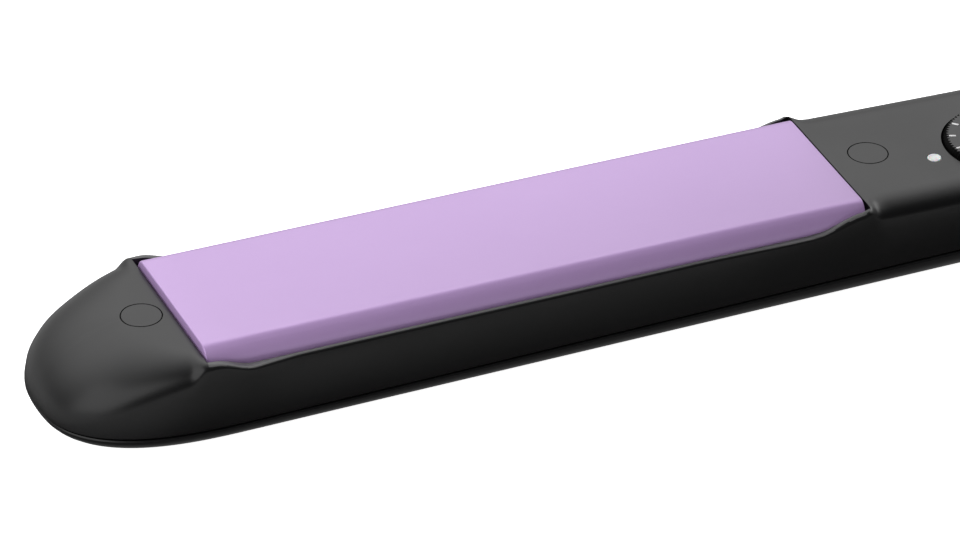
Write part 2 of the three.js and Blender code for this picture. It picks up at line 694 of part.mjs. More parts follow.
function lockSlider() {
  const thumb = boxBetween([-38.5, -4.5, -2], [-27.5, 4.5, -CLEARANCE]);
  const stem = boxBetween([-35.5, -1.3, -1], [-31, 1.3, LOCK_PLATE_Z + 0.5]);
  const plate = boxBetween([-38, -3.8, LOCK_PLATE_Z], [-25, 3.8, LOCK_PLATE_Z + 1]);
  const riser = boxBetween([-26, -3.8, LOCK_PLATE_Z], [-24, 3.8, LOCK_PLATE_Z + 4]);
  const bridge = boxBetween([-26, -9.5, LOCK_PLATE_Z + 2.4], [-24, 9.5, LOCK_PLATE_Z + 4]);
  let solid = toSolid(thumb);
  for (const block of [stem, plate, riser, bridge]) solid = solid.add(toSolid(block));
  for (const side of [-1, 1]) {
    const strut = boxBetween([-26, -0.8, LOCK_PLATE_Z + 2.4], [-24, 0.8, 12.4]);
    const tongue = boxBetween([-26, -0.8, 11], [-9.6, 0.8, 12.4]);
    solid = solid.add(toSolid(strut.translate(0, side * 8.7, 0)));
    solid = solid.add(toSolid(tongue.translate(0, side * 8.7, 0)));
  }
  return toGeometry(solid);
}

// ---------------------------------------------------------------- swivel, cord and plug
function aboutSwivelAxis(points, segments) {
  return turned(points, segments).rotateY(Math.PI / 2).translate(0, 0, SWIVEL_Z);
}

const CORD_BORE = CORD_RADIUS + CLEARANCE;

function swivelCollar() {
  const profile = [[0, 11.2], [2.9, 11.2], [2.9, 15.2], [5.5, 15.2], [5.5, 18]];
  profile.push([SWIVEL_NECK_RADIUS, 18], [SWIVEL_NECK_RADIUS, 26]);
  profile.push([CORD_BORE, 26], [CORD_BORE, 17.3], [0, 17.3]);
  return aboutSwivelAxis(profile, 20);
}

function slipRing(x) {
  const inner = 3.2;
  const outer = 4;
  const width = 1.2;
  const profile = [[inner, x], [outer, x], [outer, x + width], [inner, x + width], [inner, x]];
  return aboutSwivelAxis(profile, 18);
}

function contactStrip(x) {
  return boxBetween([x, -4, SWIVEL_Z + 4.3], [x + 1.2, 4, SWIVEL_Z + 4.8]);
}

// A tapering sleeve with shallow grooves that let it bend with the cord.
function strainReliefBoot() {
  const start = 26.3;
  const taper = (x) => THREE.MathUtils.mapLinear(x, start, BOOT_END_X, 5.2, 4.0);
  const profile = [[CORD_BORE, BOOT_END_X], [CORD_BORE, start], [4.6, start], [5.2, start + 1]];
  const grooves = 4;
  const pitch = 7;
  for (let i = 0; i < grooves; i += 1) {
    const x = start + 4 + i * pitch;
    profile.push([taper(x), x], [taper(x) - 0.6, x + 0.5]);
    profile.push([taper(x) - 0.6, x + 1.8], [taper(x), x + 2.3]);
  }
  profile.push([4, BOOT_END_X - 0.5], [3.8, BOOT_END_X], [CORD_BORE, BOOT_END_X]);
  return aboutSwivelAxis(profile, 18);
}

// The cord runs straight out of the boot, sinks to the table, winds inwards in a flat
// coil and ends at the mains plug in the middle of the coil.
const COIL_ENTRY = THREE.MathUtils.degToRad(150);
const COIL_SWEEP = THREE.MathUtils.degToRad(1140);
const COIL = { x: 155, outer: 85, pitch: 7.5 };
const CORD_LIE_Z = CORD_RADIUS + 0.05;
const PLUG_Z = 6.8;
const PLUG_HEADING = THREE.MathUtils.degToRad(225);
const PLUG_ENTRY = { x: COIL.x + 28, y: 27 };

function coilPoint(angleTurned) {
  const radius = COIL.outer - (COIL.pitch * angleTurned) / (2 * Math.PI);
  const angle = COIL_ENTRY - angleTurned;
  return new THREE.Vector3(COIL.x + radius * Math.cos(angle), radius * Math.sin(angle), CORD_LIE_Z);
}

class CoilCurve extends THREE.Curve {
  getPoint(t, target = new THREE.Vector3()) {
    return target.copy(coilPoint(t * COIL_SWEEP));
  }
}

function cordPath() {
  const start = new THREE.Vector3(17.6, 0, SWIVEL_Z);
  const bootEnd = new THREE.Vector3(BOOT_END_X + 5, 0, SWIVEL_Z);
  const entry = coilPoint(0);
  const heading = new THREE.Vector3(Math.sin(COIL_ENTRY), -Math.cos(COIL_ENTRY), 0);
  const leadOut = bootEnd.clone().add(new THREE.Vector3(14, 0, 0));
  const leadIn = entry.clone().addScaledVector(heading, -16);
  const inner = coilPoint(COIL_SWEEP);
  const plugEnd = new THREE.Vector3(PLUG_ENTRY.x, PLUG_ENTRY.y, PLUG_Z);
  const plugAxis = new THREE.Vector3(Math.cos(PLUG_HEADING), Math.sin(PLUG_HEADING), 0);
  const innerOut = inner.clone().add(new THREE.Vector3(25, 0, 0));
  const plugStart = plugEnd.clone().addScaledVector(plugAxis, -14);
  const plugIn = plugStart.clone().addScaledVector(plugAxis, -12);
  const path = new THREE.CurvePath();
  path.add(new THREE.LineCurve3(start, bootEnd));
  path.add(new THREE.CubicBezierCurve3(bootEnd, leadOut, leadIn, entry));
  path.add(new CoilCurve());
  path.add(new THREE.CubicBezierCurve3(inner, innerOut, plugIn, plugStart));
  path.add(new THREE.LineCurve3(plugStart, plugEnd));
  return path;
}

function powerCord() {
  return alongCurve(cordPath(), regularPolygon(CORD_RADIUS, 6), 132);
}

// Plug parts are drawn with the pins along +x from the engaging face at x = 0.
const PLUG_BODY_LENGTH = 34;
const PLUG_TAIL_LENGTH = 16;
const PLUG_REACH = PLUG_BODY_LENGTH + PLUG_TAIL_LENGTH;

function plugSection(x, halfWidth, halfHeight) {
  const points = [];
  const sides = 16;
  for (let i = 0; i < sides; i += 1) {
    const angle = (2 * Math.PI * (i + 0.5)) / sides;
    const c = Math.cos(angle);
    const s = Math.sin(angle);
    const y = halfWidth * Math.sign(c) * Math.abs(c) ** 0.5;
    points.push([x, y, halfHeight * Math.sign(s) * Math.abs(s) ** 0.5]);
  }
  return points;
}

// Skins a row of sections that all lie in y-z planes, x rising, and closes both ends.
function skinSections(sections) {
  const count = sections[0].length;
  const last = sections.length - 1;
  const index = [];
  for (let k = 0; k < last; k += 1) {
    for (let i = 0; i < count; i += 1) {
      const a = k * count + i;
      const b = k * count + ((i + 1) % count);
      index.push(a, b, b + count, a, b + count, a + count);
    }
  }
  for (let i = 1; i + 1 < count; i += 1) {
    index.push(0, i + 1, i);
    index.push(last * count, last * count + i, last * count + i + 1);
  }
  const geometry = new THREE.BufferGeometry();
  const positions = new Float32Array(sections.flat(2));
  geometry.setAttribute('position', new THREE.BufferAttribute(positions, 3));
  geometry.setIndex(index);
  return geometry;
}

function plugBody() {
  const body = skinSections([
    plugSection(-PLUG_REACH + 2, 4.4, 4.2),
    plugSection(-PLUG_BODY_LENGTH - 1, 5.2, 4.8),
    plugSection(-PLUG_BODY_LENGTH + 3, 9, 5.6),
    plugSection(-PLUG_BODY_LENGTH + 14, 14, 6.4),
    plugSection(-10, 17, 6.7),
    plugSection(-1, 17.2, 6.7),
    plugSection(0, 16.4, 6),
  ]);
  let solid = toSolid(body);
  for (const y of [-9.3, 9.3]) {
    solid = solid.subtract(toSolid(cylinderAlong('x', -9, 5, y, 0, 2.3, 18)));
  }
  const entry = cylinderAlong('x', -PLUG_REACH - 5, -PLUG_REACH + 6, 0, 0, CORD_BORE, 20);
  return toGeometry(solid.subtract(toSolid(entry)));
}

function plugPin(y) {
  const profile = [[0, -8.7], [2, -8.7], [2, 18], [1.2, 19], [0, 19]];
  return turned(profile, 16).rotateY(Math.PI / 2).translate(0, y, 0);
}

function plugGroup() {
  const group = new THREE.Group();
  const reach = PLUG_REACH - 5.5;
  group.position.set(
    PLUG_ENTRY.x + reach * Math.cos(PLUG_HEADING),
    PLUG_ENTRY.y + reach * Math.sin(PLUG_HEADING),
    PLUG_Z,
  );
  group.rotation.z = PLUG_HEADING;
  group.add(piece('mains_plug_body', plugBody(), 'cordBlack'));
  group.add(piece('mains_plug_pin_left', plugPin(9.3), 'steel'));
  group.add(piece('mains_plug_pin_right', plugPin(-9.3), 'steel'));
  return group;
}

// ---------------------------------------------------------------- assembly
// The pieces that both arms have, named for their arm.
function commonArmPieces(arm) {
  const group = new THREE.Group();
  const add = (name, geometry, paint) => group.add(piece(`${arm}_${name}`, geometry, paint));
  add('plate_carrier', plateCarrier(), 'heatResin');
  add('heater_plate', heaterPlate(), 'lilacCeramic');
  add('heater_element', heaterElement(), 'ceramic');
  add('heater_clip', heaterClip(), 'steel');
  add('float_pad_front', floatPad(PAD_PLACES[0]), 'silicone');
  add('float_pad_rear', floatPad(PAD_PLACES[1]), 'silicone');
  add('screw_plug_front', screwPlug(FRONT_PLUG_X, FRONT_PLUG_LEAN), 'satinBlack');
  add('screw_plug_rear', screwPlug(REAR_PLUG_X, REAR_PLUG_LEAN), 'satinBlack');
  add('shell_screw_front', shellScrew(FRONT_PLUG_X), 'steel');
  add('shell_screw_rear', shellScrew(REAR_PLUG_X), 'steel');
  return group;
}

function lowerArm() {
  const group = commonArmPieces('lower');
  group.add(piece('lower_inner_housing', lowerInnerHousing(), 'satinBlack'));
  group.add(piece('lower_outer_cover', lowerOuterCover(), 'satinBlack'));
  group.add(piece('thermal_fuse', thermalFuse(), 'ceramic'));
  group.add(piece('temperature_sensor', temperatureSensor(), 'ceramic'));
  group.add(piece('dial_knob', dialKnob(), 'dialGrey'));
  group.add(piece('potentiometer', potentiometer(), 'innerBlack'));
  group.add(piece('potentiometer_shaft', potentiometerShaft(), 'innerBlack'));
  group.add(piece('control_board', controlBoard(), 'board'));
  group.add(piece('status_lamp', statusLamp(), 'lampWhite'));
  group.add(piece('lamp_lens', lampLens(), 'lampWhite'));
  const heaterRoute = [[-123, 5, 10.2], [-119, 6.8, 10.2], [-113, 7.6, 9], [-107, 6.5, 7.6], [-101, 5, 7.1]];
  group.add(piece('lower_heater_lead', lead(heaterRoute), 'silicone'));
  const mainsRoute = [[-67, 4.5, 7.4], [-60, 4, 7], [-52, 3, 5.6], [-30, 0, 4], [0, 0, 4], [9, 0, 4.2]];
  group.add(piece('mains_lead', lead(mainsRoute), 'silicone'));
  return group;
}

function upperArm() {
  const design = commonArmPieces('upper');
  design.position.z = -HINGE_Z;
  design.add(piece('upper_inner_housing', upperInnerHousing(), 'satinBlack'));
  design.add(piece('upper_outer_cover', upperOuterCover(), 'satinBlack'));
  design.add(piece('lock_slider', lockSlider(), 'dialGrey'));
  const heaterRoute = [[-123, 5, 10.2], [-119, 6.8, 10.2], [-100, 8, 9], [-60, 6, 8], [-28, 4.5, 8]];
  design.add(piece('upper_heater_lead', lead(heaterRoute), 'silicone'));
  const turnedOver = new THREE.Group();
  turnedOver.rotation.x = Math.PI;
  turnedOver.add(design);
  const opened = new THREE.Group();
  opened.position.z = HINGE_Z;
  opened.rotation.y = OPEN_ANGLE;
  opened.add(turnedOver);
  return opened;
}

function hingeAndSwivel() {
  const group = new THREE.Group();
  group.add(piece('hinge_pin', hingePin(), 'steel'));
  group.add(piece('hinge_pin_cap', pinCap(), 'steel'));
  group.add(piece('hinge_spring', hingeSpring(), 'steel'));
  group.add(piece('swivel_collar', swivelCollar(), 'innerBlack'));
  group.add(piece('slip_ring_live', slipRing(11.6), 'brass'));
  group.add(piece('slip_ring_neutral', slipRing(13.5), 'brass'));
  group.add(piece('contact_strip_live', contactStrip(11.6), 'brass'));
  group.add(piece('contact_strip_neutral', contactStrip(13.5), 'brass'));
  group.add(piece('strain_relief_boot', strainReliefBoot(), 'cordBlack'));
  group.add(piece('power_cord', powerCord(), 'cordBlack'));
  return group;
}

const flatIron = new THREE.Group();
flatIron.add(lowerArm(), upperArm(), hingeAndSwivel(), plugGroup());

export default flatIron;
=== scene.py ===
"""Looks for a flat iron (hair straightener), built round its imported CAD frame.

Shapes are worked out in millimetres in the row frame: the table is z = 0, the hinge axis
crosses x = 0 and the nose points to -x.  Both arms are shaped in the lower arm's place, and
the upper arm's pieces are then turned over and swung open.
"""

import json
from math import asin, atan2, ceil, copysign, cos, pi, radians, sin

import bmesh
import bpy
from mathutils import Matrix, Vector
from mathutils.geometry import interpolate_bezier


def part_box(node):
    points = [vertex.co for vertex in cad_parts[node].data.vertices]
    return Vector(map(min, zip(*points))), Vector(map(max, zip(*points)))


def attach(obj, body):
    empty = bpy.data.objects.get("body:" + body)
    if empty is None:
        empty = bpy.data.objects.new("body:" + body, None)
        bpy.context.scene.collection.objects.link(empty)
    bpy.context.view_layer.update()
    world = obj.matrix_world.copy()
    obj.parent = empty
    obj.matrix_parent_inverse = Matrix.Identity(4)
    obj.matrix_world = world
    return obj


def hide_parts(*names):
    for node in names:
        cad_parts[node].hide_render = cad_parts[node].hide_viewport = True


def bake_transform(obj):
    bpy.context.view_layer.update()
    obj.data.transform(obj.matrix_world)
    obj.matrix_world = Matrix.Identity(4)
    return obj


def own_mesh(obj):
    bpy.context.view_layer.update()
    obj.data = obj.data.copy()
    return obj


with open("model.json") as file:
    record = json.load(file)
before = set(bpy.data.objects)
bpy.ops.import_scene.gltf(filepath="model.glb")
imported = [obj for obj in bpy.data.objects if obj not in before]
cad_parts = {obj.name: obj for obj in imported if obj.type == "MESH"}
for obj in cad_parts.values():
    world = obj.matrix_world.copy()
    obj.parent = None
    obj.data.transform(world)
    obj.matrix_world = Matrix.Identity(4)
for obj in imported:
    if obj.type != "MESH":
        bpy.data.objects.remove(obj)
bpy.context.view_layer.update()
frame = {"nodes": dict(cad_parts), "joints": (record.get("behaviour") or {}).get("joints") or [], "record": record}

MM = 0.001
SCENE = bpy.context.scene


# ---- sizes taken from the frame
def box_mm(node):
    low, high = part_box(node)
    return low / MM, high / MM


def centre_mm(node):
    low, high = box_mm(node)
    return (low + high) / 2


RECORD = frame["record"]
BODY_OF = {node: body for body, nodes in RECORD["behaviour"]["bodies"].items() for node in nodes}
SLOT_OF = {part["node"]: part["material_slot"] for part in RECORD["subparts"]}
JOINTS = {joint["name"]: joint for joint in frame["joints"]}
PLUG_MOUNT = next(mount for mount in RECORD["mounts"] if mount["name"] == "plug_face")

PLATE_LOW, PLATE_HIGH = box_mm("lower_heater_plate")
PLATE_FRONT_X = PLATE_LOW.x
PLATE_REAR_X = PLATE_HIGH.x
PLATE_CENTRE_X = centre_mm("lower_heater_plate").x
PLATE_TOP_Z = PLATE_HIGH.z
PLATE_HALF_WIDTH = PLATE_HIGH.y
PLATE_BOTTOM_Z = PLATE_LOW.z
HOUSING_LOW, HOUSING_HIGH = box_mm("lower_inner_housing")
NOSE_TIP_X = HOUSING_LOW.x - 0.25
NOSE_HALF_WIDTH = HOUSING_HIGH.y
LOWER_TAIL_END = box_mm("lower_outer_cover")[1].x
HINGE_Z = JOINTS["arm_hinge"]["pos_m"][2] / MM
OPEN_ANGLE = radians(-JOINTS["arm_hinge"]["range_deg"][0])
SWIVEL_Z = JOINTS["cord_swivel"]["pos_m"][2] / MM
DIAL = centre_mm("dial_knob")
DIAL_LOW, DIAL_HIGH = box_mm("dial_knob")
DIAL_RADIUS = DIAL_HIGH.x - DIAL.x
LAMP = centre_mm("lamp_lens")
PLUG_PLACES = {end: centre_mm(f"lower_screw_plug_{end}").x for end in ("front", "rear")}
PLUG_RADIUS = box_mm("lower_screw_plug_front")[1].y

# The upper arm is the lower arm's design turned over at hinge height, then swung open.
LOWER_PLACE = Matrix.Identity(4)
UPPER_PLACE = (
    Matrix.Translation((0, 0, HINGE_Z))
    @ Matrix.Rotation(OPEN_ANGLE, 4, "Y")
    @ Matrix.Rotation(pi, 4, "X")
    @ Matrix.Translation((0, 0, -HINGE_Z))
)

# ---- shape of an arm
WALL = 1.8
SEAM_GAP = 0.3
CLEARANCE = 0.3
NOSE_WIDE_X = PLATE_FRONT_X + 4.8
NOSE_LENGTH = NOSE_WIDE_X - NOSE_TIP_X
NOSE_POWER = 2.58
SIDE_TAPER = 0.0131
TAIL_POWER = 4
LOWER_TAIL = (LOWER_TAIL_END - 16, LOWER_TAIL_END)
UPPER_TAIL = (-22, -10)
SEAM_Z_AT_FRONT = 5.23
SEAM_RISE = 0.0089
NOSE_TOP_Z = PLATE_TOP_Z - 1.1
HANDLE_TOP_Z = PLATE_TOP_Z - 0.35
HANDLE_DIP = 1.85
HANDLE_DIP_LENGTH = 130
EDGE_WIDTH = 4.3
EDGE_DROP = 2.7
LIP_WIDTH = 0.7
LIP_DROP = 0.45
REAR_LIP_SOFTNESS = 0.15
REAR_LIP_BELOW_FACE = 0.6
FRONT_LIP_BELOW_FACE = 0.3
NOSE_EDGE_WIDTH = 14.9
NOSE_EDGE_BLEND = 1.52
NOSE_EDGE_POWER = 1.228
COVER_FLAT_HALF_WIDTH = 5.8
RIM_Z = PLATE_TOP_Z - 3.1
OPENING_MARGIN = 0.4
OPENING_GAP_FRONT = 0.95
OPENING_GAP_REAR = 0.15
SEAM_EDGE = 0.2

# How sharply the long walls lean inwards (1 / radius of their bulge) along the arm: they stand
# up straighter at the four lips.
WALL_BULGE = [
    (PLATE_FRONT_X - 15, 1 / 26.5),
    (PLATE_FRONT_X - 1, 1 / 100),
    (PLATE_FRONT_X + 5, 1 / 100),
    (PLATE_FRONT_X + 15, 1 / 32),
    (PLATE_REAR_X - 29, 1 / 40),
    (PLATE_REAR_X - 10, 1 / 150),
    (PLATE_REAR_X - 1, 1 / 150),
    (PLATE_REAR_X + 4, 1 / 48),
]


def lerp(a, b, share):
    return a + (b - a) * share


def share_of(x, start, end):
    """How far x is from start to end, kept between 0 and 1."""
    return min(max((x - start) / (end - start), 0), 1)


def smooth_step(x, start, end):
    t = share_of(x, start, end)
    return t * t * (3 - 2 * t)


def steps(start, end, size):
    """Places from start to end, both included, no further apart than size."""
    count = max(1, ceil(abs(end - start) / size))
    return [lerp(start, end, i / count) for i in range(count + 1)]


def half_width(x):
    return NOSE_HALF_WIDTH - SIDE_TAPER * max(0, x - NOSE_WIDE_X)


def seam_z(x):
    return SEAM_Z_AT_FRONT + SEAM_RISE * (x - PLATE_CENTRE_X + 45)


def face_z(x):
    """The inner face's height: level on the nose, then dipping towards the hinge."""
    if x < PLATE_CENTRE_X:
        return NOSE_TOP_Z
    along = share_of(x, PLATE_REAR_X, PLATE_REAR_X + HANDLE_DIP_LENGTH)
    return HANDLE_TOP_Z - HANDLE_DIP * sin(pi / 2 * along)


def top_z(x):
    """The plate-side shell's top: the inner face, lowered in an S-curve to a rim beside the plate."""
    front = smooth_step(x, PLATE_FRONT_X + 0.5, PLATE_FRONT_X + 7.3)
    rear = 1 - smooth_step(x, PLATE_REAR_X - 9.5, PLATE_REAR_X - 0.5)
    lip = face_z(x)
    if x < PLATE_CENTRE_X:
        lip -= FRONT_LIP_BELOW_FACE * smooth_step(x, PLATE_FRONT_X - 2, PLATE_FRONT_X + 0.6)
    else:
        lip -= REAR_LIP_BELOW_FACE * (1 - smooth_step(x, PLATE_REAR_X - 1, PLATE_REAR_X + 0.8))
    return lerp(lip, RIM_Z, min(front, rear))


def edge_softness(x):
    """0 where the long edge is a thin lip beside the plate, a little more at the rear lips, and 1 where it
    is softly rounded."""
    nose = 1 - smooth_step(x, PLATE_FRONT_X - 3.6, PLATE_FRONT_X - 0.9)
    handle = smooth_step(x, PLATE_REAR_X - 0.7, PLATE_REAR_X + 2.2)
    rear_lip = REAR_LIP_SOFTNESS * smooth_step(x, PLATE_REAR_X - 8, PLATE_REAR_X - 3)
    return max(nose, handle, rear_lip)


def wall_bulge(x):
    bulge = WALL_BULGE[0][1]
    for (start, before), (end, after) in zip(WALL_BULGE, WALL_BULGE[1:]):
        if x > start:
            bulge = lerp(before, after, smooth_step(x, start, end))
    return bulge


class Station:
    """A place on the arm's plan outline.  across falls to 0 and tip rises to 1 towards the nose tip."""

    def __init__(self, plan, across=1, tip=0):
        self.plan = plan
        self.across = across
        self.tip = tip
        self.x = plan(0)[0]


def superellipse(angle, power):
    return sin(angle) ** (2 / power), max(0, cos(angle)) ** (2 / power)


def nose_share(x):
    """The sine of the angle at which the nose's superellipse passes a place along the arm."""
    return ((NOSE_WIDE_X - x) / NOSE_LENGTH) ** (NOSE_POWER / 2)


def nose_station(angle):
    along, across = superellipse(angle, NOSE_POWER)

    def plan(inset):
        width = max(NOSE_HALF_WIDTH - inset, 0.2)
        return NOSE_WIDE_X - (NOSE_LENGTH - inset) * along, width * across

    return Station(plan, across, sin(angle) ** NOSE_EDGE_BLEND)


def side_station(x):
    return Station(lambda inset: (x, half_width(x) - inset))


def tail_station(tail, angle):
    start, end = tail
    along, across = superellipse(angle, TAIL_POWER)

    def plan(inset):
        return start + (end - start - inset) * along, (half_width(start) - inset) * across

    return Station(plan, across)


def arm_stations(tail):
    """Stations along one side of the outline, from the nose tip to the tail's middle, close together
    round the plate's ends."""
    fine, coarse = 0.5, 4
    shoulder_x = PLATE_FRONT_X - 12
    angles = steps(pi / 2, asin(nose_share(shoulder_x)), radians(1.5))
    angles += [asin(nose_share(x)) for x in steps(shoulder_x + fine, NOSE_WIDE_X - fine, fine)]
    stations = [nose_station(angle) for angle in angles]
    places = steps(NOSE_WIDE_X, PLATE_FRONT_X + 8, fine)
    places += steps(PLATE_FRONT_X + 10, PLATE_REAR_X - 10, coarse)
    places += steps(PLATE_REAR_X - 8, PLATE_REAR_X + 8, fine)
    places += steps(PLATE_REAR_X + 10, tail[0], coarse)
    stations += [side_station(x) for x in places]
    stations += [tail_station(tail, angle) for angle in steps(0, pi / 2, radians(5))[1:]]
    return stations


def ring(stations, place):
    """A closed ring of points: each station on the near side, then mirrored back on the far side."""
    near = []
    for station in stations:
        x, y, z = place(station)
        near.append((x, -y, z))
    far = [(x, -y, z) for x, y, z in reversed(near[1:-1])]
    return near + far


def housing_place(straight_share, edge_angle, shrink, tuck):
    """Where a station's point lies at one level of the plate-side shell's wall and edge."""

    def place(station):
        soft = edge_softness(station.x)
        width = lerp(LIP_WIDTH, EDGE_WIDTH, soft)
        drop = lerp(LIP_DROP, EDGE_DROP, soft)
        start = seam_z(station.x)
        top_x = station.plan(lerp(width, NOSE_EDGE_WIDTH, station.tip))[0]
        height = top_z(top_x) - shrink - start
        width = lerp(width, NOSE_EDGE_WIDTH - 2 * shrink, station.tip)
        drop = lerp(drop, height, station.tip)
        rise = straight_share * (height - drop) + drop * sin(edge_angle)
        lean = station.across * rise ** 2 / 2 * wall_bulge(station.x)
        roundness = max(0, cos(edge_angle)) ** lerp(1, NOSE_EDGE_POWER, station.tip)
        inset = shrink + tuck + lean + width * (1 - roundness)
        return (*station.plan(inset), start + rise)

    return place


CAVITY_REACH = 0.5


def sunk(place):
    """The same place a little lower, so that a cavity reaches clear out of its opening."""

    def lower(station):
        x, y, z = place(station)
        return x, y, z - CAVITY_REACH

    return lower


def housing_form(name, tail, shrink):
    """The plate-side shell's outer form, or with a shrink its inner form, from the seam up."""
    places = [sunk(housing_place(0, 0, shrink, 0)) if shrink else housing_place(0, 0, 0, SEAM_EDGE)]
    places += [housing_place(share, 0, shrink, 0) for share in (0.03, 0.2, 0.4, 0.6, 0.8, 1)]
    places += [housing_place(1, angle, shrink, 0) for angle in steps(0, pi / 2, radians(9))[1:]]
    return arm_stack(name, arm_stations(tail), places)


def cover_place(angle, shrink, tuck):
    """Where a station's point lies at one level of the outer cover, from 90 degrees at the flat bottom."""

    def place(station):
        seam = seam_z(station.x)
        curve = half_width(station.x) - COVER_FLAT_HALF_WIDTH - shrink / 2
        inset = shrink + tuck + curve * (1 - cos(angle))
        if angle == 0:
            return (*station.plan(inset), seam - (0 if shrink else SEAM_GAP))
        return (*station.plan(inset), seam - (seam - shrink) * sin(angle))

    return place


def cover_form(name, tail, shrink):
    """The outer cover's outer form, or with a shrink its inner form, from the bottom up to the seam."""
    angles = steps(pi / 2, radians(6), radians(6))
    places = [cover_place(angle, shrink, 0) for angle in angles]
    places.append(cover_place(0, shrink, 0 if shrink else SEAM_EDGE))
    return arm_stack(name, arm_stations(tail), places)


# ---- mesh tools, in millimetres
def new_piece(name, vertices, faces):
    mesh = bpy.data.meshes.new(name)
    mesh.from_pydata([tuple(v) for v in vertices], [], faces)
    piece = bpy.data.objects.new(name, mesh)
    SCENE.collection.objects.link(piece)
    return piece


def face_outwards(piece):
    """Turns the faces of a closed piece outwards."""
    edit = bmesh.new()
    edit.from_mesh(piece.data)
    bmesh.ops.remove_doubles(edit, verts=edit.verts, dist=1e-4)
    bmesh.ops.recalc_face_normals(edit, faces=edit.faces)
    if edit.calc_volume(signed=True) < 0:
        bmesh.ops.reverse_faces(edit, faces=edit.faces)
    edit.to_mesh(piece.data)
    edit.free()
    return piece


def bands(ring_count, size):
    """Quads that join each ring of vertices to the next."""
    faces = []
    for level in range(ring_count - 1):
        for i in range(size):
            a = level * size + i
            b = level * size + (i + 1) % size
            faces.append((a, b, b + size, a + size))
    return faces


def loft(name, rings, closed_path=False):
    """A skin over rings of points.  The ends are closed by flat faces, or the path closes on itself."""
    size = len(rings[0])
    vertices = [point for points in rings for point in points]
    faces = bands(len(rings), size)
    last = (len(rings) - 1) * size
    if closed_path:
        faces += [(last + i, last + (i + 1) % size, (i + 1) % size, i) for i in range(size)]
    else:
        faces += [tuple(range(size)), tuple(range(last, last + size))]
    return face_outwards(new_piece(name, vertices, faces))


def arm_stack(name, stations, places):
    """Rings of the stations' places round an arm, closed at both ends by strips from side to side."""
    rings = [ring(stations, place) for place in places]
    size = len(rings[0])
    faces = bands(len(rings), size)
    for start in (0, (len(rings) - 1) * size):
        for i in range(size // 2):
            corners = dict.fromkeys([i, i + 1, (size - i - 1) % size, (size - i) % size])
            faces.append(tuple(start + corner for corner in corners))
    vertices = [point for points in rings for point in points]
    return face_outwards(new_piece(name, vertices, faces))


def rounded(points, radius, count=4):
    """The open line of points with its inner corners rounded."""
    result = [Vector(points[0])]
    for before, corner, after in zip(points, points[1:], points[2:]):
        middle = Vector(corner)
        back = Vector(before) - middle
        ahead = Vector(after) - middle
        start = middle + back.normalized() * min(radius, back.length / 2)
        end = middle + ahead.normalized() * min(radius, ahead.length / 2)
        for i in range(count + 1):
            t = i / count
            result.append(start * (1 - t) ** 2 + middle * 2 * t * (1 - t) + end * t * t)
    result.append(Vector(points[-1]))
    return result


TO_AXIS = {
    "x": Matrix(((0, 0, 1), (1, 0, 0), (0, 1, 0))),
    "y": Matrix(((1, 0, 0), (0, 0, -1), (0, 1, 0))),
    "z": Matrix.Identity(3),
}


def turned(name, profile, axis="z", centre=(0, 0, 0), segments=64, radius_at=None):
    """A turned part: (radius, height) points spun about an axis.  The profile starts and ends on the axis,
    or closes on itself.  radius_at(radius, height, angle) can shape the radius round the turn."""
    shape = radius_at or (lambda radius, height, angle: radius)
    on_axis = profile[0][0] == 0
    circle = [2 * pi * i / segments for i in range(segments)]
    rings = []
    for radius, height in profile[1:-1] if on_axis else profile:
        sizes = [shape(radius, height, a) for a in circle]
        rings.append([(size * cos(a), size * sin(a), height) for size, a in zip(sizes, circle)])
    piece = loft(name, rings, closed_path=not on_axis)
    piece.data.transform(Matrix.Translation(centre) @ TO_AXIS[axis].to_4x4())
    return piece


def cylinder(axis, start, end, u, v, radius, segments=48):
    """A plain cutting cylinder along an axis, centred on (u, v) of the two other axes in x, y, z order."""
    centres = {"x": (0, u, v), "y": (u, 0, v), "z": (u, v, 0)}
    sign = -1 if axis == "y" else 1
    profile = [(0, sign * start), (radius, sign * start), (radius, sign * end), (0, sign * end)]
    return turned("tool", profile, axis, centres[axis], segments)


def add_box(edit, low, high):
    """Adds a box between two corners to a mesh in the making, and returns its vertices."""
    corners = bmesh.ops.create_cube(edit, size=1)["verts"]
    bmesh.ops.scale(edit, vec=Vector(high) - Vector(low), verts=corners)
    bmesh.ops.translate(edit, vec=(Vector(high) + Vector(low)) / 2, verts=corners)
    return corners


def made_piece(name, edit, radius, segments):
    """The piece in the making, with its edges rounded."""
    if radius:
        bmesh.ops.bevel(
            edit, geom=edit.edges[:], offset=radius, segments=segments, profile=0.5, affect="EDGES"
        )
    piece = new_piece(name, [], [])
    edit.to_mesh(piece.data)
    edit.free()
    return piece


def block(low, high, radius=0.0, name="tool"):
    edit = bmesh.new()
    add_box(edit, low, high)
    return made_piece(name, edit, radius, 4)


def combine(body, operation, tools):
    """Joins body with the tools, cuts them from it or keeps what they share, and uses the tools up."""
    for tool in tools:
        modifier = body.modifiers.new("combine", "BOOLEAN")
        modifier.operation = operation
        modifier.solver = "MANIFOLD"
        modifier.object = tool
    bpy.context.view_layer.update()
    evaluated = body.evaluated_get(bpy.context.evaluated_depsgraph_get())
    result = bpy.data.meshes.new_from_object(evaluated)
    body.modifiers.clear()
    body.data = result
    for tool in tools:
        bpy.data.objects.remove(tool)
    return body


def join(body, *tools):
    return combine(body, "UNION", tools)


def cut(body, *tools):
    return combine(body, "DIFFERENCE", tools)


def common(body, *tools):
    return combine(body, "INTERSECT", tools)


def bezier(a, b, c, d, count):
    """Points of a cubic Bezier curve, without its last point."""
    return interpolate_bezier(a, b, c, d, count + 1)[:-1]


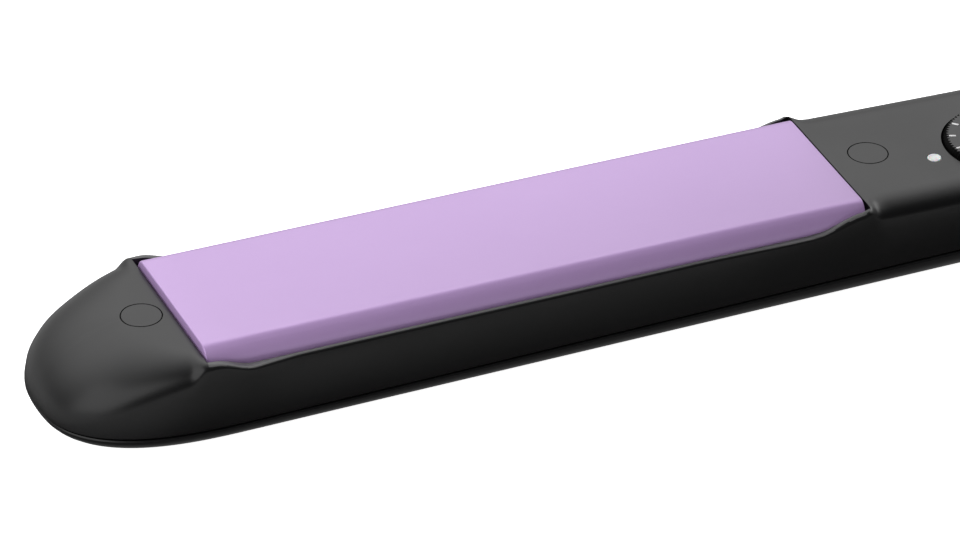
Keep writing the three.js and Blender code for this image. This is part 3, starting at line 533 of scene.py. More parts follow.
def curve_through(corners, count):
    """Points of a smooth curve through the corners (Catmull-Rom), count to each stretch."""
    points = [Vector(corner) for corner in corners]
    ends = [points[0] * 2 - points[1]] + points + [points[-1] * 2 - points[-2]]
    result = []
    for a, b, c, d in zip(ends, ends[1:], ends[2:], ends[3:]):
        result += bezier(b, b + (c - a) / 6, c - (d - b) / 6, c, count)
    return result + [points[-1]]


def tube(name, path, radius, sides=16, radius_along=None):
    """A round tube along a path of points, closed at both ends."""
    rings = []
    normal = None
    for i, point in enumerate(path):
        ahead = (path[min(i + 1, len(path) - 1)] - path[max(i - 1, 0)]).normalized()
        if normal is None:
            normal = ahead.orthogonal().normalized()
        normal = (normal - ahead * normal.dot(ahead)).normalized()
        side = ahead.cross(normal)
        size = radius * (radius_along(i / (len(path) - 1)) if radius_along else 1)
        circle = [2 * pi * k / sides for k in range(sides)]
        rings.append([point + (normal * cos(a) + side * sin(a)) * size for a in circle])
    return loft(name, rings)


# ---- materials
class Shader:
    """The node tree of a material or a world, with short ways to add nodes and join them."""

    def __init__(self, owner, surface="Principled BSDF", coordinates="Object"):
        owner.use_nodes = True
        self.nodes = owner.node_tree.nodes
        self.links = owner.node_tree.links
        self.surface = self.nodes[surface]
        self.place = self.node("TexCoord").outputs[coordinates]

    def put(self, socket, value):
        if isinstance(value, bpy.types.NodeSocket):
            self.links.new(value, socket)
        else:
            socket.default_value = value

    def node(self, kind, **values):
        made = self.nodes.new("ShaderNode" + kind)
        for name, value in values.items():
            self.put(made.inputs[name.replace("_", " ")], value)
        return made

    def noise(self, size, detail=2, stretch=(1, 1, 1)):
        """Grey noise whose lumps are about size millimetres across."""
        mapped = self.node("Mapping", Vector=self.place, Scale=stretch).outputs["Vector"]
        return self.node("TexNoise", Vector=mapped, Scale=1 / (size * MM), Detail=detail).outputs["Fac"]

    def remap(self, value, low, high, start=0.0, end=1.0, smooth=False):
        made = self.node("MapRange", Value=value, From_Min=low, From_Max=high, To_Min=start, To_Max=end)
        made.interpolation_type = "SMOOTHSTEP" if smooth else "LINEAR"
        return made.outputs["Result"]

    def mix(self, share, first, second):
        made = self.nodes.new("ShaderNodeMix")
        made.data_type = "RGBA"
        for name, value in (("Factor", share), ("A", first), ("B", second)):
            self.put(made.inputs[name], value)
        return made.outputs["Result"]

    def compute(self, kind, operation, first, second):
        """The number that a Math or VectorMath node works out from two inputs."""
        made = self.node(kind)
        made.operation = operation
        self.put(made.inputs[0], first)
        self.put(made.inputs[1], second)
        return made.outputs["Value"]

    def paint(self, **values):
        for name, value in values.items():
            self.put(self.surface.inputs[name.replace("_", " ")], value)

    def colour(self, share, first, second):
        self.paint(Base_Color=self.mix(share, first, second))

    def rough(self, grey_noise, low, high):
        """Roughness from low to high over the middle of a noise."""
        self.paint(Roughness=self.remap(grey_noise, 0.3, 0.7, low, high))

    def relief(self, *layers, edge=0.0):
        """Bumps of (height, millimetres) layers over edges softened to a radius in millimetres."""
        normal = None
        if edge:
            soft = self.node("Bevel", Radius=edge * MM)
            soft.samples = 6
            normal = soft.outputs["Normal"]
        for height, depth in layers:
            bump = self.node("Bump", Height=height, Strength=1.0, Distance=depth * MM)
            if normal is not None:
                self.put(bump.inputs["Normal"], normal)
            normal = bump.outputs["Normal"]
        self.put(self.surface.inputs["Normal"], normal)

    def split_by_camera(self, seen, otherwise, output):
        """Shows the camera one shader, and everything else, such as reflections, another."""
        mixed = self.node("MixShader")
        self.put(mixed.inputs[0], self.node("LightPath").outputs["Is Camera Ray"])
        self.put(mixed.inputs[1], otherwise.outputs[0])
        self.put(mixed.inputs[2], seen.outputs[0])
        self.put(self.nodes[output].inputs["Surface"], mixed.outputs[0])


def rgb(red, green, blue):
    return (red, green, blue, 1.0)


def grey(level):
    return rgb(level, level, level)


FINISHES = {}


def finish(describe, name=None, **values):
    """Makes the material that a function describes and keeps it in FINISHES under its name."""
    name = name or describe.__name__
    FINISHES[name] = bpy.data.materials.new(name)
    describe(Shader(FINISHES[name]), **values)
    return describe


@finish
def satin_black(shader, paler=0.0):
    """Satin moulded plastic with a very fine spark-eroded grain and faint cloudiness."""
    cloud = shader.noise(14, detail=3)
    grain = shader.noise(0.16)
    # paler lifts both greys; the copy made with it is the painted highlight on the rim's thin top edge.
    dark = rgb(0.0045 + paler, 0.0045 + paler, 0.0048 + paler)
    light = rgb(0.0065 + paler, 0.0065 + paler, 0.0068 + paler)
    shader.colour(cloud, dark, light)
    shader.rough(cloud, 0.31, 0.37)
    shader.relief((grain, 0.006), edge=0.12)


# A paler copy of the black for the rim's thin top edge: a painted highlight of the light that edge catches.
finish(satin_black, "satin_black_painted_highlight", paler=0.085)


@finish
def lilac_ceramic(shader):
    """Ceramic coating on aluminium: even lilac, fine sparkle, faint lengthwise polish."""
    cloud = shader.noise(22, detail=3)
    fleck = shader.remap(shader.noise(0.12, detail=1), 0.55, 0.75)
    polish = shader.noise(0.25, stretch=(0.04, 1, 1))
    tint = shader.mix(cloud, rgb(0.50, 0.325, 0.625), rgb(0.53, 0.35, 0.655))
    shader.colour(shader.remap(fleck, 0, 1, 0, 0.25), tint, rgb(0.62, 0.46, 0.72))
    shader.rough(polish, 0.32, 0.4)
    shader.paint(Metallic=0.15, Coat_Weight=0.25, Coat_Roughness=0.28)
    shader.relief((polish, 0.0015), edge=0.08)


@finish
def heat_resin(shader):
    """Glass-filled resin: dark brown-black with pale fibres and moulding flow."""
    fibre = shader.remap(shader.noise(0.3, detail=3, stretch=(0.15, 1, 1)), 0.55, 0.7)
    shader.colour(fibre, rgb(0.018, 0.015, 0.012), rgb(0.05, 0.043, 0.036))
    shader.rough(shader.noise(3), 0.55, 0.75)
    shader.relief((fibre, 0.01), edge=0.1)


@finish
def white_ceramic(shader):
    """Unglazed fired ceramic: off-white, chalky, with fine pits."""
    cells = shader.node("TexVoronoi", Vector=shader.place, Scale=1 / (0.4 * MM))
    pits = shader.remap(cells.outputs["Distance"], 0, 0.35)
    shader.colour(shader.noise(5), rgb(0.74, 0.69, 0.6), rgb(0.82, 0.78, 0.7))
    shader.paint(Roughness=0.85)
    shader.relief((pits, 0.015), (shader.noise(0.2), 0.01), edge=0.15)


@finish
def steel(shader):
    """Bright drawn steel with fine scratches along the part and slight smudges."""
    scratch = shader.noise(0.08, stretch=(1, 0.05, 1))
    shader.colour(shader.noise(4, detail=3), rgb(0.5, 0.51, 0.53), rgb(0.6, 0.61, 0.62))
    shader.paint(Metallic=1.0)
    shader.rough(scratch, 0.24, 0.4)
    shader.relief((scratch, 0.003), edge=0.1)


@finish
def silicone_red(shader):
    """Soft silicone rubber: brick red, dull, with a dusting of paler bloom."""
    bloom = shader.remap(shader.noise(1.2, detail=4), 0.45, 0.8)
    shader.colour(bloom, rgb(0.48, 0.085, 0.04), rgb(0.56, 0.17, 0.11))
    shader.paint(Roughness=0.62, Subsurface_Weight=0.1, Subsurface_Scale=0.001)
    shader.relief((shader.noise(0.15), 0.008), edge=0.2)


@finish
def inner_plastic(shader):
    """Plain black plastic of the working parts, a little rougher than the shell's."""
    grain = shader.noise(0.3, detail=3)
    shader.colour(grain, rgb(0.013, 0.013, 0.014), rgb(0.02, 0.02, 0.021))
    shader.rough(grain, 0.5, 0.6)
    shader.relief((grain, 0.012), edge=0.1)


@finish
def circuit_board(shader):
    """Green solder mask with raised copper tracks and the weave of the laminate under it."""
    tracks = shader.node("TexBrick", Vector=shader.place, Scale=180.0, Mortar_Size=0.03).outputs["Fac"]
    weave = shader.noise(0.25, detail=1)
    mask = shader.mix(weave, rgb(0.012, 0.11, 0.035), rgb(0.02, 0.15, 0.05))
    shader.colour(tracks, mask, rgb(0.05, 0.26, 0.08))
    shader.paint(Roughness=0.38)
    shader.relief((tracks, 0.03), (weave, 0.004), edge=0.1)


@finish
def lamp_white(shader):
    """Milky light-pipe plastic: bright white, slightly translucent, glossy."""
    milk = shader.noise(0.6)
    shader.colour(milk, rgb(0.84, 0.84, 0.83), rgb(0.92, 0.92, 0.91))
    shader.paint(Roughness=0.25, Subsurface_Weight=0.3, Subsurface_Scale=0.001)
    shader.paint(Emission_Color=grey(1), Emission_Strength=0.06)
    shader.relief((milk, 0.002), edge=0.06)


@finish
def dial_plastic(shader):
    """The dial's black plastic with a fine matt grain.  Its top is painted greyer and shinier than its wall as a
    painted highlight, and the wall darker and duller than the plastic's own black as painted shade where it stands
    in its recess.
    """
    grain = shader.noise(0.12)
    top = shader.mix(shader.noise(5), rgb(0.026, 0.026, 0.0265), rgb(0.034, 0.034, 0.0345))
    normal = shader.node("SeparateXYZ", Vector=shader.node("NewGeometry").outputs["True Normal"])
    lit_top_share = shader.remap(normal.outputs["Z"], 0.85, 0.97)
    # Painted light: faces turned up get the lit grey, the wall gets a painted-shade black.
    shader.colour(lit_top_share, grey(0.003), top)
    shader.rough(grain, 0.38, 0.48)
    shader.paint(Specular_IOR_Level=shader.remap(lit_top_share, 0, 1, 0.12, 0.5))
    shader.relief((grain, 0.008), edge=0.05)


@finish
def contact_brass(shader):
    """Spring brass with a slight tarnish."""
    tarnish = shader.remap(shader.noise(1.5, detail=4), 0.4, 0.75)
    shader.colour(tarnish, rgb(0.75, 0.5, 0.2), rgb(0.5, 0.32, 0.14))
    shader.paint(Metallic=1.0, Roughness=shader.remap(tarnish, 0, 1, 0.25, 0.45))
    shader.relief((shader.noise(0.1, stretch=(1, 0.1, 1)), 0.002), edge=0.08)


@finish
def cord_rubber(shader):
    """Soft black cord jacket and plug vinyl: satin, with a fine drawn grain and a little dust."""
    grain = shader.noise(0.2, detail=3)
    dust = shader.remap(shader.noise(6, detail=5), 0.5, 0.85)
    shader.colour(dust, rgb(0.010, 0.010, 0.0105), grey(0.022))
    shader.rough(grain, 0.42, 0.56)
    shader.relief((grain, 0.012), edge=0.15)


@finish
def white_marking(shader):
    """Pad-printed white ink on the dial."""
    speckle = shader.remap(shader.noise(0.08), 0.3, 0.6)
    shader.colour(speckle, grey(0.7), grey(0.9))
    shader.paint(Roughness=0.5)
    shader.relief((speckle, 0.003))


def dress(piece, material, angle=32):
    """Takes a piece from millimetres to metres, shades it smooth and gives it one of the finishes."""
    piece.data.transform(Matrix.Scale(MM, 4))
    piece.data.shade_smooth()
    piece.data.set_sharp_from_angle(angle=radians(angle))
    piece.data.materials.clear()
    piece.data.materials.append(FINISHES[material])


def stand_for(piece, node, place=Matrix.Identity(4), angle=32):
    """Puts a finished piece in the frame: it rides on the node's body and is shown in its stead."""
    piece.data.transform(place)
    dress(piece, SLOT_OF[node], angle)
    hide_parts(node)
    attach(piece, BODY_OF[node])
    piece.visible_glossy = not node.startswith("upper")


# ---- the shells
PIN_BORE_RADIUS = 2.25
KNUCKLE_RADIUS = HOUSING_HIGH.z - HINGE_Z
BARREL_HALF_WIDTH = 6.9
EAR_INNER_Y = 7.3
EAR_OUTER_Y = 13.6
PLUG_SHOWN_RADIUS = PLUG_RADIUS - 0.1
BORE_RADIUS = PLUG_SHOWN_RADIUS + 0.17
LAMP_RADIUS = box_mm("lamp_lens")[1].x - LAMP.x
DIAL_GAP = 0.15
LAMP_GAP = 0.06
SCREW_HEAD_Z = 9.4
SCREW_SHANK_ROOM = 1.6
BOSS_BOTTOM_Z = 8
BOSS_WALL = 1.25
POST_RADIUS = 3
PILOT_RADIUS = 1.5
SWIVEL_BORE_RADIUS = 4.7
SWIVEL_FLANGE_ROOM = 5.9
SWIVEL_FLANGE = (14, 18.6)
LATCH_ARC_RADIUS = 5.2
SPRING_ROOM_RADIUS = 6.2
SPRING_ROOM_HALF_WIDTH = 3.7
ABOVE_ALL = 25
# Solid blocks left standing in the cavities, as (low corner, high corner).
EAR_BLOCK = ((-11, -12.6, 8), (10.4, 12.6, 15.2))
NECK_BLOCK = ((-12.8, -7.5, 4), (-8, 7.5, 20))
TAIL_BLOCK = ((18.8, -9, 0), (26, 9, 20))
SPRING_SLOT = ((-16, -3.6, 11.6), (-5, -1.6, 14.2))


def knuckle(from_y, to_y):
    """A hinge knuckle with softened rims, round the hinge axis."""
    profile = rounded([(0, from_y), (KNUCKLE_RADIUS, from_y), (KNUCKLE_RADIUS, to_y), (0, to_y)], 0.7)
    return turned("tool", [(p.x, -p.y) for p in reversed(profile)], "y", (0, 0, HINGE_Z), 72)


def barrel_bore(radius, half_length, segments=64):
    return cylinder("y", -half_length, half_length, 0, HINGE_Z, radius, segments)


def at_plugs(start, end, radius, segments=48):
    """Upright cutting cylinders at both plug places."""
    return [cylinder("z", start, end, x, 0, radius, segments) for x in PLUG_PLACES.values()]


def bosses():
    return at_plugs(BOSS_BOTTOM_Z, 20, BORE_RADIUS + BOSS_WALL)


def plug_bores():
    return at_plugs(SCREW_HEAD_Z - CLEARANCE, ABOVE_ALL, BORE_RADIUS, 96) + at_plugs(0, 20, SCREW_SHANK_ROOM)


def plate_opening():
    """The opening's cutter, a little wider at the front."""
    cutter = block((PLATE_FRONT_X - OPENING_MARGIN, -1, -1), (PLATE_REAR_X + OPENING_MARGIN, 1, ABOVE_ALL))
    for vertex in cutter.data.vertices:
        gap = OPENING_GAP_FRONT if vertex.co.x < PLATE_CENTRE_X else OPENING_GAP_REAR
        vertex.co.y *= PLATE_HALF_WIDTH + gap
    return cutter


def swivel_pocket():
    neck = cylinder("x", 15, 30, 0, SWIVEL_Z, SWIVEL_BORE_RADIUS)
    return [neck, cylinder("x", *SWIVEL_FLANGE, 0, SWIVEL_Z, SWIVEL_FLANGE_ROOM)]


def latch_groove(side):
    """The swept room of the lock's tongue in an ear."""
    low = 7.2 if side > 0 else -9.9
    room = block((-9.5, low, HINGE_Z - 0.6), (0, low + 2.7, 30))
    return cut(room, barrel_bore(LATCH_ARC_RADIUS, 20, 48))


def on_lip(face):
    """Whether a face of a housing, in the lower arm's place, is part of the rim's thin top edge."""
    x, y, z = face.center
    beside = PLATE_FRONT_X - 0.3 < x < PLATE_REAR_X + 0.3 and abs(y) > PLATE_HALF_WIDTH
    return beside and face.normal.z > 0.86 and z > RIM_Z - 0.6


def paint_lips(housing, node, place):
    """Finishes a housing, with its rim's thin top edge a little paler as a painted highlight, as it looks in the
    photo.
    """
    lips = [face.index for face in housing.data.polygons if on_lip(face)]
    stand_for(housing, node, place)
    # The rim's top edge faces get the paler copy, a painted highlight.
    housing.data.materials.append(FINISHES["satin_black_painted_highlight"])
    for index in lips:
        housing.data.polygons[index].material_index = 1


def lower_inner_housing():
    cavity = housing_form("tool", LOWER_TAIL, WALL)
    cut(cavity, *bosses(), block(*EAR_BLOCK), block(*TAIL_BLOCK))
    housing = cut(housing_form("lower_inner_housing_shell", LOWER_TAIL, 0), cavity)
    for side in (-1, 1):
        low, high = sorted((side * EAR_INNER_Y, side * EAR_OUTER_Y))
        cheek = block((-KNUCKLE_RADIUS, low, 9), (KNUCKLE_RADIUS, high, HINGE_Z), 0.6)
        join(housing, knuckle(low, high), cheek)
    cut(housing, barrel_bore(KNUCKLE_RADIUS + 0.5, EAR_INNER_Y), barrel_bore(PIN_BORE_RADIUS, 20))
    cut(housing, latch_groove(1), latch_groove(-1), block(*SPRING_SLOT), *swivel_pocket())
    dial_well = cylinder("z", DIAL_LOW.z - 0.4, ABOVE_ALL, DIAL.x, DIAL.y, DIAL_RADIUS + DIAL_GAP, 128)
    lamp_bore = cylinder("z", 10, ABOVE_ALL, LAMP.x, LAMP.y, LAMP_RADIUS + LAMP_GAP, 64)
    cut(housing, plate_opening(), *plug_bores(), dial_well, lamp_bore)
    paint_lips(housing, "lower_inner_housing", LOWER_PLACE)


def upper_inner_housing():
    cavity = housing_form("tool", UPPER_TAIL, WALL)
    cut(cavity, *bosses(), block(*NECK_BLOCK))
    housing = cut(housing_form("upper_inner_housing_shell", UPPER_TAIL, 0), cavity)
    neck = block((-13.5, -BARREL_HALF_WIDTH, 9.6), (0, BARREL_HALF_WIDTH, 15), 0.8)
    join(housing, knuckle(-BARREL_HALF_WIDTH, BARREL_HALF_WIDTH), neck)
    side = SPRING_ROOM_HALF_WIDTH
    spring_doors = [block((-17, -side, 10.6), (0, side, 14.4))]
    spring_doors.append(block((-12, -side, 14), (0, side, HINGE_Z + 9)))
    cut(housing, barrel_bore(SPRING_ROOM_RADIUS, side), *spring_doors, barrel_bore(PIN_BORE_RADIUS, 20))
    cut(housing, *[block((-19, low, 10.5), (-8, low + 2.4, 12.9)) for low in (-9.9, 7.5)])
    cut(housing, plate_opening(), *plug_bores())
    paint_lips(housing, "upper_inner_housing", UPPER_PLACE)


def cover_shell(name, tail, kept=()):
    """An outer cover with its screw posts, their pilot holes, and the kept tools left standing inside."""
    posts = at_plugs(0.9, BOSS_BOTTOM_Z - CLEARANCE, POST_RADIUS)
    cavity = cut(cover_form("tool", tail, WALL), *posts, *kept)
    return cut(cover_form(name, tail, 0), cavity, *at_plugs(2.2, 12, PILOT_RADIUS))


def lower_outer_cover():
    board_rests = [block((x - 1, -4, 1), (x + 1, 4, 3.7)) for x in (-105, -65)]
    cover = cover_shell("lower_outer_cover_shell", LOWER_TAIL, [block(*TAIL_BLOCK), *board_rests])
    stand_for(cut(cover, *swivel_pocket()), "lower_outer_cover")


LOCK_SLOT_LOW = (-36, -1.7, -1)
LOCK_SLOT_HIGH = (-26, 1.7, WALL + 1)


def upper_outer_cover():
    cover = cover_shell("upper_outer_cover_shell", UPPER_TAIL)
    stand_for(cut(cover, block(LOCK_SLOT_LOW, LOCK_SLOT_HIGH, 0.3)), "upper_outer_cover", UPPER_PLACE)


# ---- the heater plates
PLATE_EDGE_RADIUS = 4.6
PLATE_EDGE_START = radians(38)
PLATE_CREASE_RADIUS = 0.9
PLATE_END_BEVEL = 0.25
PLATE_UNDERSIDE_Z = PLATE_TOP_Z - 2.2
LIP_BOTTOM_Z = PLATE_TOP_Z - 5.2
LIP_INNER_Y = PLATE_HALF_WIDTH - 1.9
RAIL_INNER_Y = 8.6
RAIL_OUTER_Y = 9.8


def plate_section(inset):
    """The plate's outline across its width, its outer faces moved inwards by an inset."""
    side = PLATE_HALF_WIDTH - inset
    top = PLATE_TOP_Z - inset
    middle_y = side - PLATE_EDGE_RADIUS
    middle_z = top - PLATE_EDGE_RADIUS * cos(PLATE_EDGE_START)
    curve = [(0, top)]
    for tilt in steps(PLATE_EDGE_START, pi / 2, radians(4)):
        y = middle_y + PLATE_EDGE_RADIUS * sin(tilt)
        curve.append((y, middle_z + PLATE_EDGE_RADIUS * cos(tilt)))
    crease = rounded([(*curve[0], 0), (*curve[1], 0), (*curve[5], 0)], PLATE_CREASE_RADIUS, 6)
    half = [(point.x, point.y) for point in crease[:-1]]
    half += [point for point in curve[2:] if point[0] > half[-1][0] + 0.05]
    half += [(side, LIP_BOTTOM_Z), (LIP_INNER_Y, LIP_BOTTOM_Z), (LIP_INNER_Y, PLATE_UNDERSIDE_Z)]
    half += [(RAIL_OUTER_Y, PLATE_UNDERSIDE_Z), (RAIL_OUTER_Y, PLATE_BOTTOM_Z)]
    half += [(RAIL_INNER_Y, PLATE_BOTTOM_Z), (RAIL_INNER_Y, PLATE_UNDERSIDE_Z)]
    return half + [(-y, z) for y, z in reversed(half[1:])]


def heater_plate(arm, place):
    """A coated plate, its two ends slightly rounded."""
    bevel = []
    for angle in steps(0, pi / 2, radians(15)):
        bevel.append((PLATE_END_BEVEL * (1 - cos(angle)), PLATE_END_BEVEL * (1 - sin(angle))))
    rings = [(PLATE_FRONT_X + along, inset) for along, inset in bevel]
    rings += [(x, 0) for x in steps(PLATE_FRONT_X + 5, PLATE_REAR_X - 5, 10)]
    rings += [(PLATE_REAR_X - along, inset) for along, inset in reversed(bevel)]
    sections = [[(x, y, z) for y, z in plate_section(inset)] for x, inset in rings]
    plate = loft(f"{arm}_heater_plate_coated", sections)
    stand_for(plate, f"{arm}_heater_plate", place, angle=50)


# ---- plugs, dial and lamp
def screw_plug(arm, end, tail, place):
    """A push-in plug whose face follows the shell's surface."""
    x = PLUG_PLACES[end]
    plug = cylinder("z", face_z(x) - 2.3, face_z(x) + 5, x, 0, PLUG_SHOWN_RADIUS, 96)
    plug.name = f"{arm}_screw_plug_{end}_disc"
    common(plug, housing_form("tool", tail, 0))
    stand_for(plug, f"{arm}_screw_plug_{end}", place)


KNURL_TEETH = 84
KNURL_DEPTH = 0.45
DIAL_CROWN = 0.56


def knurled(radius, height, angle):
    """Fine teeth round the dial's wall and crown."""
    if radius < DIAL_RADIUS - DIAL_CROWN - 0.2 or height < DIAL_LOW.z + 0.45:
        return radius
    wave = 0.5 - 0.5 * cos(KNURL_TEETH * angle)
    return radius - KNURL_DEPTH * wave ** 0.8


def dial():
    base_z, top = DIAL_LOW.z, DIAL_HIGH.z
    shaft_bore = 2.1
    crown = DIAL_RADIUS - DIAL_CROWN
    profile = [(0, base_z + 2.4), (shaft_bore, base_z + 2.4), (shaft_bore, base_z)]
    profile += [(DIAL_RADIUS - 0.4, base_z), (DIAL_RADIUS, base_z + 0.4), (DIAL_RADIUS, base_z + 0.6)]
    profile.append((DIAL_RADIUS, top - 1.2))
    profile += [(DIAL_RADIUS - 0.2, top - 0.6), (crown, top - 0.05), (crown - 0.05, top)]
    profile += [(crown - 0.5, top), (crown - 1.4, top - 0.04), (0, top - 0.04)]
    knob = turned("dial_knob_knurled", profile, "z", (DIAL.x, DIAL.y, 0), KNURL_TEETH * 6, knurled)
    stand_for(knob, "dial_knob", angle=40)


TICK_COUNT = 12
TICK_STEP = radians(24.55)
TICK_MIDDLE = radians(171.3)
TICK_LENGTH = 1.1
TICK_WIDTH = 0.4
TICK_INNER_RADIUS = 7.95


def dial_ticks():
    """Printed strokes round the dial's top, a hundredth of a millimetre proud."""
    low = (TICK_INNER_RADIUS, -TICK_WIDTH / 2, DIAL_HIGH.z - 0.05)
    high = (TICK_INNER_RADIUS + TICK_LENGTH, TICK_WIDTH / 2, DIAL_HIGH.z + 0.01)
    edit = bmesh.new()
    for i in range(TICK_COUNT):
        angle = TICK_MIDDLE + (i - (TICK_COUNT - 1) / 2) * TICK_STEP
        stroke = add_box(edit, low, high)
        bmesh.ops.rotate(edit, matrix=Matrix.Rotation(angle, 3, "Z"), verts=stroke)
        bmesh.ops.translate(edit, vec=(DIAL.x, DIAL.y, 0), verts=stroke)
    ticks = made_piece("dial_tick_marks", edit, 0.02, 2)
    dress(ticks, "white_marking")
    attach(ticks, BODY_OF["dial_knob"])


def lamp_lens():
    """The light pipe's face: a dished centre inside a slightly raised ring."""
    low, high = box_mm("lamp_lens")
    radius = LAMP_RADIUS
    top = high.z + 0.1
    profile = [(0, low.z), (radius, low.z), (radius, top - 0.1), (radius - 0.1, top)]
    profile += [(radius - 0.28, top), (radius - 0.38, top - 0.08), (0, top - 0.1)]
    lens = turned("lamp_lens_dished", rounded(profile, 0.05, 2), "z", (LAMP.x, LAMP.y, 0), 64)
    stand_for(lens, "lamp_lens")


# ---- hinge, lock and springs
def hinge_pin():
    """A shouldered pin with a domed head at +y and a plain end inside its cap at -y."""
    low, high = box_mm("hinge_pin")
    head = (high.x - low.x) / 2
    pin_radius = PIN_BORE_RADIUS - 0.25
    profile = [(0, -high.y), (head - 1.4, -high.y + 0.05), (head - 0.5, -high.y + 0.45)]
    profile += [(head, -high.y + 0.9), (head, -high.y + 1.1), (pin_radius, -high.y + 1.1)]
    profile += [(pin_radius, -low.y - 0.3), (pin_radius - 0.3, -low.y), (0, -low.y)]
    pin = turned("hinge_pin_turned", rounded(profile, 0.2, 3), "y", (0, 0, HINGE_Z), 64)
    stand_for(pin, "hinge_pin")


def hinge_pin_cap():
    """The pressed cap over the pin's far end."""
    low, high = box_mm("hinge_pin_cap")
    head = (high.x - low.x) / 2
    bore = PIN_BORE_RADIUS - 0.05
    profile = [(0, -low.y - 0.3), (bore, -low.y - 0.3), (bore, -high.y), (head, -high.y)]
    profile += [(head, -high.y + 0.5), (head - 0.5, -low.y - 0.25), (head - 1.4, -low.y - 0.05), (0, -low.y)]
    cap = turned("hinge_pin_cap_domed", rounded(profile, 0.12, 3), "y", (0, 0, HINGE_Z), 64)
    stand_for(cap, "hinge_pin_cap")


SPRING_COIL_RADIUS = 4.6
SPRING_WIRE_RADIUS = 0.55
SPRING_HALF_WIDTH = 2.6
SPRING_LEG = 12
SPRING_TURNS = 3.5


def hinge_spring():
    """One wire: a leg in the lower arm, coils round the pin and a leg in the upper arm."""
    turn = SPRING_TURNS * 2 * pi - OPEN_ANGLE
    path = []
    for share in steps(0, 1, 1 / 150):
        angle = -pi / 2 + share * turn
        y = lerp(-SPRING_HALF_WIDTH, SPRING_HALF_WIDTH, share)
        height = HINGE_Z + SPRING_COIL_RADIUS * sin(angle)
        path.append(Vector((SPRING_COIL_RADIUS * cos(angle), y, height)))
    outwards = Vector((-cos(OPEN_ANGLE), 0, sin(OPEN_ANGLE)))
    lower_leg = [path[0] + Vector((-reach, 0, 0)) for reach in steps(SPRING_LEG, 2, 2)]
    upper_leg = [path[-1] + outwards * reach for reach in steps(2, SPRING_LEG, 2)]
    spring = tube("hinge_spring_wire", lower_leg + path + upper_leg, SPRING_WIRE_RADIUS, 12)
    dress(spring, "steel", 50)
    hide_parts("hinge_spring")
    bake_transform(spring)


PAD_PLACE = 45
PAD_BOTTOM_Z = 8.7


def float_pad(arm, end, place):
    """A waisted silicone cushion, with a mesh of its own."""
    node = f"{arm}_float_pad_{end}"
    x = PLATE_CENTRE_X + (-PAD_PLACE if end == "front" else PAD_PLACE)
    bottom, top = PAD_BOTTOM_Z, PLATE_UNDERSIDE_Z - 0.1
    middle = (bottom + top) / 2
    profile = [(0, bottom), (3.8, bottom), (3.6, bottom + 0.6), (3.1, middle)]
    profile += [(3.6, top - 0.6), (3.8, top), (0, top)]
    pad = turned(f"{node}_waisted", rounded(profile, 0.4), "z", (x, 0, 0), 48)
    stand_for(pad, node, place)
    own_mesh(pad)


LOCK_PLATE_Z = WALL + 0.5
TONGUE_Y = 8.7
TONGUE_TOP_Z = 12.4
THUMB_LOW = (-38.5, -4.5, -2)
THUMB_HIGH = (-27.5, 4.5, -CLEARANCE)


def lock_slider():
    """The thumb pad with grip ribs, its stem through the slot, and two tongues that reach the ears."""
    slider = block(THUMB_LOW, THUMB_HIGH, 0.6, "lock_slider_ribbed")
    grooves = [cylinder("y", -6, 6, x, THUMB_LOW[2] - 0.25, 0.55) for x in steps(-36.5, -29.5, 1.75)]
    cut(slider, *grooves)
    plate, bar, top = LOCK_PLATE_Z, LOCK_PLATE_Z + 2.4, TONGUE_TOP_Z
    parts = [
        block((-35.5, -1.3, -1), (-31.3, 1.3, plate + 0.5)),
        block((-38, -3.8, plate), (-25, 3.8, plate + 1), 0.2),
        block((-26, -3.8, plate), (-24, 3.8, plate + 4), 0.2),
        block((-26, -9.5, bar), (-24, 9.5, plate + 4), 0.2),
    ]
    for middle in (-TONGUE_Y, TONGUE_Y):
        near, far = middle - 0.8, middle + 0.8
        parts.append(block((-26, near, bar), (-24, far, top), 0.1))
        parts.append(block((-25.9, near, 11), (-9.6, far, top), 0.15))
    join(slider, *parts)
    stand_for(slider, "lock_slider", UPPER_PLACE)


# ---- boot, cord and plug
CORD_RADIUS = 3
CORD_BORE = CORD_RADIUS + CLEARANCE
BOOT_LOW, BOOT_HIGH = box_mm("strain_relief_boot")
BOOT_GROOVES = 4
BOOT_PITCH = 7


def strain_relief_boot():
    """A tapering sleeve with rounded rings between shallow grooves."""
    start, end = BOOT_LOW.x, BOOT_HIGH.x

    def taper(x):
        return lerp(5.2, 4.0, (x - start) / (end - start))

    profile = [(CORD_BORE, start), (4.6, start), (5.2, start + 1)]
    for i in range(BOOT_GROOVES):
        x = start + 4 + i * BOOT_PITCH
        profile += [(taper(x), x), (taper(x) - 0.6, x + 0.5)]
        profile += [(taper(x) - 0.6, x + 1.8), (taper(x), x + 2.3)]
    profile += [(4, end - 0.5), (3.8, end), (CORD_BORE, end)]
    boot = turned("strain_relief_boot_ringed", rounded(profile, 0.35), "x", (0, 0, SWIVEL_Z), 64)
    stand_for(boot, "strain_relief_boot", angle=60)


COIL_CENTRE_X = 155
COIL_OUTER = 85
COIL_PITCH = 7.5
COIL_ENTRY = radians(150)
COIL_SWEEP = radians(1140)
CORD_LIE_Z = CORD_RADIUS + 0.05
PLUG_FACE = Vector(PLUG_MOUNT["pos_m"]) / MM
PLUG_AXIS = Vector(PLUG_MOUNT["axis"])
PLUG_BODY_LENGTH = 34
PLUG_TAIL_LENGTH = 16
PLUG_REACH = PLUG_BODY_LENGTH + PLUG_TAIL_LENGTH


def coil_point(turned_by):
    radius = COIL_OUTER - COIL_PITCH * turned_by / (2 * pi)
    angle = COIL_ENTRY - turned_by
    return Vector((COIL_CENTRE_X + radius * cos(angle), radius * sin(angle), CORD_LIE_Z))


